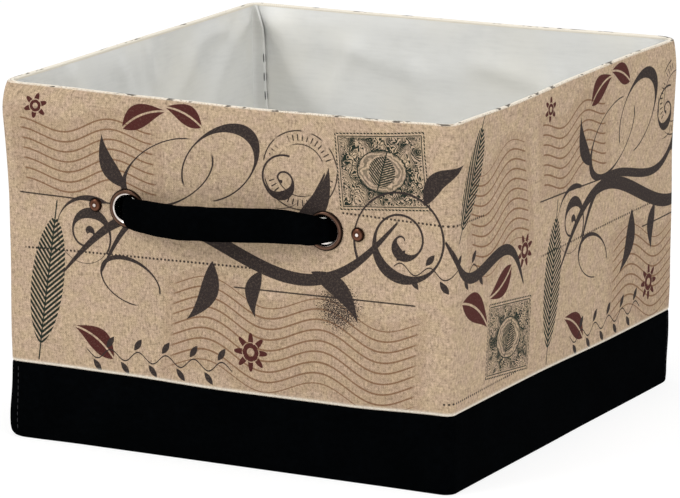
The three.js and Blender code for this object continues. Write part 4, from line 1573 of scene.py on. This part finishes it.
class BASKET_OT_fittings(bpy.types.Operator):
    """Makes the rolled eyelets, their washers and the two-part rivets"""

    bl_idname = "basket.fittings"
    bl_label = "Eyelets and rivets"

    def execute(self, context):
        body, fittings, finish = values_of(context)
        # The last two values: the radius beyond which shade is painted, and the one inside which a highlight
        # is painted
        nickel = metal_material("warm_nickel", finish.nickel, 0.3, EYELET_X, 0.0128, 0.0103)
        copper = metal_material("antique_copper", finish.copper, 0.6, RIVET_X, 0.0039, 0.0009)
        for side, way in (("left", -1), ("right", 1)):
            makers = [
                ("rolled_eyelet", "eyelet", self.eyelet, nickel, "nickel", EYELET_X),
                ("flat_washer", "eyelet_washer", self.washer, nickel, "nickel", EYELET_X),
                ("rivet_dome", "rivet_cap", self.cap, copper, "copper", RIVET_X),
                ("rivet_button", "rivet_back", self.back, copper, "copper", RIVET_X),
            ]
            for name, node, rings, material, slot, x in makers:
                piece = ringed(f"{name}_{side}", rings(fittings, body))
                piece.data.transform(Matrix.Translation((way * x, FRONT, HANDLE_Z)))
                smooth(piece, 50)
                finish_piece(piece, material, replaced=[f"{node}_{side}"])
        return {"FINISHED"}

    def eyelet(self, fittings, body):
        """A domed flange that rolls into the barrel, whose end is rolled over the washer."""
        outer = (EYELET_HIGH.x - EYELET_LOW.x) / 2
        crown = FRONT - EYELET_LOW.y
        back = FRONT - EYELET_HIGH.y
        bore, wall = fittings.bore, fittings.wall
        half = (outer - bore) / 2
        rings = [(bore, back)]
        for k in range(13):
            angle = math.pi * (1 - k / 12)
            height = math.sin(angle) ** 0.85 if 0 < k < 12 else 0
            rings.append((bore + half + half * math.cos(angle), body.gap + (crown - body.gap) * height))
        rings += [
            (outer - wall, body.gap),
            (bore + wall, body.gap),
            (bore + wall, back + 2 * wall),
            (bore + 2 * wall, back + 1.4 * wall),
            (fittings.roll_radius - wall, back + 1.4 * wall),
            (fittings.roll_radius, back + wall),
            (fittings.roll_radius - wall, back + 0.3 * wall),
            (bore + 2 * wall, back),
            (bore, back),
        ]
        return rings

    def washer(self, fittings, body):
        """A flat ring whose outer edges are rounded on the side away from the wall."""
        outer = (WASHER_HIGH.x - WASHER_LOW.x) / 2
        near, far = FRONT - WASHER_LOW.y, FRONT - WASHER_HIGH.y
        hole = fittings.bore + fittings.wall + body.gap
        soft = (near - far) / 3
        return [
            (hole, near), (outer, near), (outer, far + soft), (outer - soft / 2, far + soft / 3),
            (outer - soft, far), (hole + soft, far), (hole, far + soft / 2), (hole, near),
        ]

    def cap(self, fittings, body):
        """A domed cap with a thin rim and a post behind it."""
        outer = (CAP_HIGH.x - CAP_LOW.x) / 2
        crown = FRONT - CAP_LOW.y
        post_end = FRONT - CAP_HIGH.y
        rim = body.gap + 0.0004
        rings = [(0, post_end), (fittings.rivet_post, post_end), (fittings.rivet_post, body.gap)]
        rings += [(outer - 0.0002, body.gap), (outer, body.gap + 0.0002), (outer, rim)]
        for k in range(1, 9):
            angle = math.pi / 2 * k / 8
            rings.append((outer * 0.97 * math.cos(angle), rim + (crown - rim) * math.sin(angle)))
        return rings

    def back(self, fittings, body):
        """A round button with a socket for the cap's post."""
        outer = (BACK_HIGH.x - BACK_LOW.x) / 2
        near, far = FRONT - BACK_LOW.y, FRONT - BACK_HIGH.y
        socket = fittings.rivet_post + body.gap
        deep = near - 0.6 * (near - far)
        return [
            (0, deep), (socket, deep), (socket, near), (outer, near), (outer, near - 0.0004),
            (outer * 0.93, near - 0.0009), (outer * 0.75, far + 0.0001), (outer * 0.4, far), (0, far),
        ]


class BASKET_OT_strap_handle(bpy.types.Operator):
    """Makes the stuffed strap, which goes through both eyelets and is riveted flat behind the wall"""

    bl_idname = "basket.strap_handle"
    bl_label = "Strap handle"
    around = 40  # faces round the strap
    pleats = 0.014  # length of the pleats beside an eyelet
    swing_start, swing_end = 0.003, 0.014  # from the wall to where the swing begins and is whole

    def execute(self, context):
        body, fittings, finish = values_of(context)
        handle, around = context.scene.basket_handle, self.around
        route = self.route(handle)
        girth = 2 * (handle.tall + handle.thick) * 0.9
        run = lengths_along(route[:, :3])
        piece, column, row = flat_cloth("strap_handle", np.linspace(0, girth, around + 1), run)
        heading = np.gradient(route[:, :3], axis=0)
        heading /= np.linalg.norm(heading, axis=1)[:, None]
        across = np.cross(heading, (0, 0, 1))
        across /= np.linalg.norm(across, axis=1)[:, None]
        upward = np.cross(across, heading)
        angle = 2 * math.pi * column / around + math.pi
        c, s = np.cos(angle), np.sin(angle)
        x, _, _, tall, thick = route[row].T
        pleat = np.clip(1 - np.abs(np.abs(x) - EYELET_X + self.pleats) / self.pleats, 0, 1)
        pucker = 1 + 0.045 * pleat * np.sin(7 * angle + 2.0 * np.sign(x))
        crease = 1 - 0.012 * np.sin(run[row] / 0.006 + 1.7 * s) * (tall > 0.02)
        wide = np.sign(c) * np.abs(c) ** 0.8 * thick / 2 * pucker * crease
        high = np.sign(s) * np.abs(s) ** 0.8 * tall / 2 * pucker
        seam = np.clip(1 - np.minimum(column, around - column) / 1.2, 0, 1)
        wide = wide * (1 - 0.12 * seam * (thick > 0.006))
        at = route[row, :3] + across[row] * wide[:, None] + upward[row] * high[:, None]
        move_points(piece, at)
        close_ring(piece)
        close_holes(piece)
        drill(piece, body, fittings, TAIL_HIGH.y - 0.008, TAIL_HIGH.y + 0.004, eyelets=False)
        smooth(piece, 60)
        replaced = ["handle_cover", "handle_core", "handle_tail_left", "handle_tail_right"]
        cloth = black_material("black_strap", finish, lift=0.8)
        finish_piece(piece, cloth, body=None, replaced=replaced)
        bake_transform(piece)
        return {"FINISHED"}

    def route(self, handle):
        """Rings of the strap from left to right: place, height and thickness."""
        reach = EYELET_X - handle.cut
        tail = FRONT - (TAIL_HIGH.y - handle.tail_thick / 2)
        flat_out = FRONT - BOARD_HIGH.y - 0.0027
        # From the strap's end through its eyelet: beside the eyelet, out of the wall, height and thickness
        side = [
            (TAIL_HIGH.x - EYELET_X, flat_out, 0.94 * handle.tail_tall, 0.9 * handle.tail_thick),
            (TAIL_HIGH.x - EYELET_X - 0.001, flat_out, handle.tail_tall, handle.tail_thick),
            (RIVET_X - EYELET_X, flat_out, handle.tail_tall, handle.tail_thick),
            (0.0173, flat_out, handle.tail_tall, handle.tail_thick),
            (0.0112, tail, handle.tail_tall, handle.tail_thick),
            (0.0068, tail, 0.98 * handle.tail_tall, handle.tail_thick),
            (0.0014, -0.0043, handle.bore_tall, handle.bore_thick),
            (-0.0008, 0.0012, handle.bore_tall, handle.bore_thick),
            (-0.0062, 0.0082, 0.97 * handle.end_tall, 0.95 * handle.end_thick),
            (-0.0128, handle.axis_out, handle.end_tall, handle.end_thick),
        ]
        left, right = [
            [(beside, out, self.end_drop(handle, out, end), tall, thick) for beside, out, tall, thick in side]
            for end in (-1, 1)
        ]
        rings = [(-EYELET_X - beside, *others) for beside, *others in left]
        for share in np.linspace(-1, 1, 15)[1:-1]:
            full = math.cos(share * math.pi / 2) ** 2
            swell = math.sqrt(full)
            out = handle.axis_out + (handle.bow - handle.axis_out) * full
            tall = handle.end_tall + (handle.tall - handle.end_tall) * min(1, 3.4 * swell)
            thick = handle.end_thick + (handle.thick - handle.end_thick) * swell
            rings.append((share * reach, out, -at_place(STRAP_SAG, share), tall, thick))
        rings += [(EYELET_X + beside, *others) for beside, *others in reversed(right)]
        path = np.array([(x, FRONT - out, HANDLE_Z + up, tall, thick) for x, out, up, tall, thick in rings])
        steps = np.linalg.norm(np.diff(path[:, :3], axis=0), axis=1)
        knots = np.concatenate([[0], np.cumsum(np.sqrt(steps))])
        return through_points(path, knots, int(steps.sum() / handle.step))

    def end_drop(self, handle, out, end):
        """How far the strap has dropped, `out` of the wall, at its left (-1) or right (1) end."""
        return at_place(STRAP_SAG, end) * -min(1, max(0, out / handle.axis_out)) ** 2


def through_points(path, knots, count):
    """A smooth curve through points, with rings at even lengths."""
    fine = np.linspace(0, knots[-1], 12 * count)
    slopes = np.gradient(path, knots, axis=0)
    index = np.clip(np.searchsorted(knots, fine, side="right") - 1, 0, len(knots) - 2)
    span = knots[index + 1] - knots[index]
    t = ((fine - knots[index]) / span)[:, None]
    p0, p1 = path[index], path[index + 1]
    m0, m1 = slopes[index] * span[:, None], slopes[index + 1] * span[:, None]
    out = (2 * t**3 - 3 * t**2 + 1) * p0 + (t**3 - 2 * t**2 + t) * m0
    out += (3 * t**2 - 2 * t**3) * p1 + (t**3 - t**2) * m1
    run = lengths_along(out[:, :3])
    even = np.linspace(0, run[-1], count + 1)
    return np.column_stack([np.interp(even, run, out[:, k]) for k in range(out.shape[1])])


WHITE = (1, 1, 1, 1)


class BASKET_OT_stage(bpy.types.Operator):
    """Sets the camera, the pale floor, the soft lamps and the white surroundings"""

    bl_idname = "basket.stage"
    bl_label = "Stage"

    def execute(self, context):
        stage = context.scene.basket_stage
        self.camera(context, stage)
        self.floor()
        self.lamp(context, "key_lamp", (-1.7, -2.9, 2.5), 1.8, stage.key_watts)
        self.lamp(context, "top_lamp", (0.2, -0.2, 3.2), 1.6, stage.top_watts)
        self.lamp(context, "fill_lamp", (3.2, -1.2, 1.9), 1.8, stage.fill_watts)
        self.surroundings(context, stage)
        context.scene.view_settings.view_transform = "Standard"
        return {"FINISHED"}

    def camera(self, context, stage):
        data = bpy.data.cameras.new("camera")
        data.lens = stage.lens
        data.sensor_width = 36
        data.clip_end = 20
        camera = bpy.data.objects.new("camera", data)
        context.scene.collection.objects.link(camera)
        camera.location = stage.camera_place
        camera.rotation_euler = (math.pi / 2 - stage.elevation, 0, stage.azimuth)
        context.scene.camera = camera

    def floor(self):
        """A pale floor, which keeps the basket's shadow and glows white where it is seen or reflected."""
        floor = primitive(bpy.ops.mesh.primitive_plane_add, "floor", size=40)
        look = Look("pale_floor", Roughness=0.9, Specular_IOR_Level=0.1)
        grain = look.noise(look.solid_place(), 3.0)
        look.to_shader(Base_Color=look.mixed(grain, (0.86, 0.86, 0.86), (0.9, 0.9, 0.9)))
        glow = look.add("ShaderNodeEmission", None, {"Color": WHITE, "Strength": 1.12})
        seen = look.seen_by("Camera", "Glossy") * 0.7
        lit = Signal(look, look.shader.outputs[0])
        look.output("Material Output", look.add("ShaderNodeMixShader", None, {0: seen, 1: lit, 2: glow}))
        floor.data.materials.append(look.material)

    def lamp(self, context, name, place, size, watts):
        """A round soft lamp that points at the basket's middle."""
        data = bpy.data.lights.new(name, "AREA")
        data.shape = "DISK"
        data.size = size
        data.energy = watts
        lamp = bpy.data.objects.new(name, data)
        context.scene.collection.objects.link(lamp)
        lamp.location = place
        lamp.rotation_euler = (Vector(place) - Vector((0, 0, HEIGHT / 2))).to_track_quat("Z", "Y").to_euler()

    def surroundings(self, context, stage):
        """A world that lights from all round, and is white where it is seen, reflected or looked through."""
        world = bpy.data.worlds.new("surroundings")
        context.scene.world = world
        world.use_nodes = True
        nodes = Nodes(world.node_tree)
        light = world.node_tree.nodes["Background"]
        nodes.feed(light.inputs["Color"], WHITE)
        nodes.feed(light.inputs["Strength"], stage.ambient)
        shown = nodes.add("ShaderNodeBackground", None, {"Color": WHITE, "Strength": 1})
        seen = nodes.seen_by("Camera", "Glossy", "Transmission")
        light = Signal(nodes, light.outputs[0])
        nodes.output("World Output", nodes.add("ShaderNodeMixShader", None, {0: seen, 1: light, 2: shown}))


GROUPS = {
    "basket_body": BasketBody,
    "basket_handle": BasketHandle,
    "basket_fittings": BasketFittings,
    "basket_finish": BasketFinish,
    "basket_stage": BasketStage,
}
OPERATORS = (
    BASKET_OT_printed_sleeve,
    BASKET_OT_black_band,
    BASKET_OT_underside,
    BASKET_OT_lining,
    BASKET_OT_insert,
    BASKET_OT_fittings,
    BASKET_OT_strap_handle,
    BASKET_OT_stage,
)


class BASKET_PT_panel(bpy.types.Panel):
    """Sizes and colours of the basket, and the operators that make its pieces"""

    bl_idname = "BASKET_PT_panel"
    bl_label = "Storage basket"
    bl_space_type = "VIEW_3D"
    bl_region_type = "UI"
    bl_category = "Basket"

    def draw(self, context):
        for operator in OPERATORS:
            self.layout.operator(operator.bl_idname)
        for group in GROUPS:
            values = getattr(context.scene, group)
            box = self.layout.box()
            for key in values.__annotations__:
                box.prop(values, key)


CLASSES = (*GROUPS.values(), *OPERATORS, BASKET_PT_panel)


def register():
    for item in CLASSES:
        bpy.utils.register_class(item)
    for name, group in GROUPS.items():
        setattr(bpy.types.Scene, name, PointerProperty(type=group))


def unregister():
    for name in GROUPS:
        delattr(bpy.types.Scene, name)
    for item in reversed(CLASSES):
        bpy.utils.unregister_class(item)


def main():
    register()
    for operator in OPERATORS:
        getattr(bpy.ops.basket, operator.bl_idname.split(".")[1])()
    bpy.context.view_layer.update()


if __name__ == "__main__":
    main()
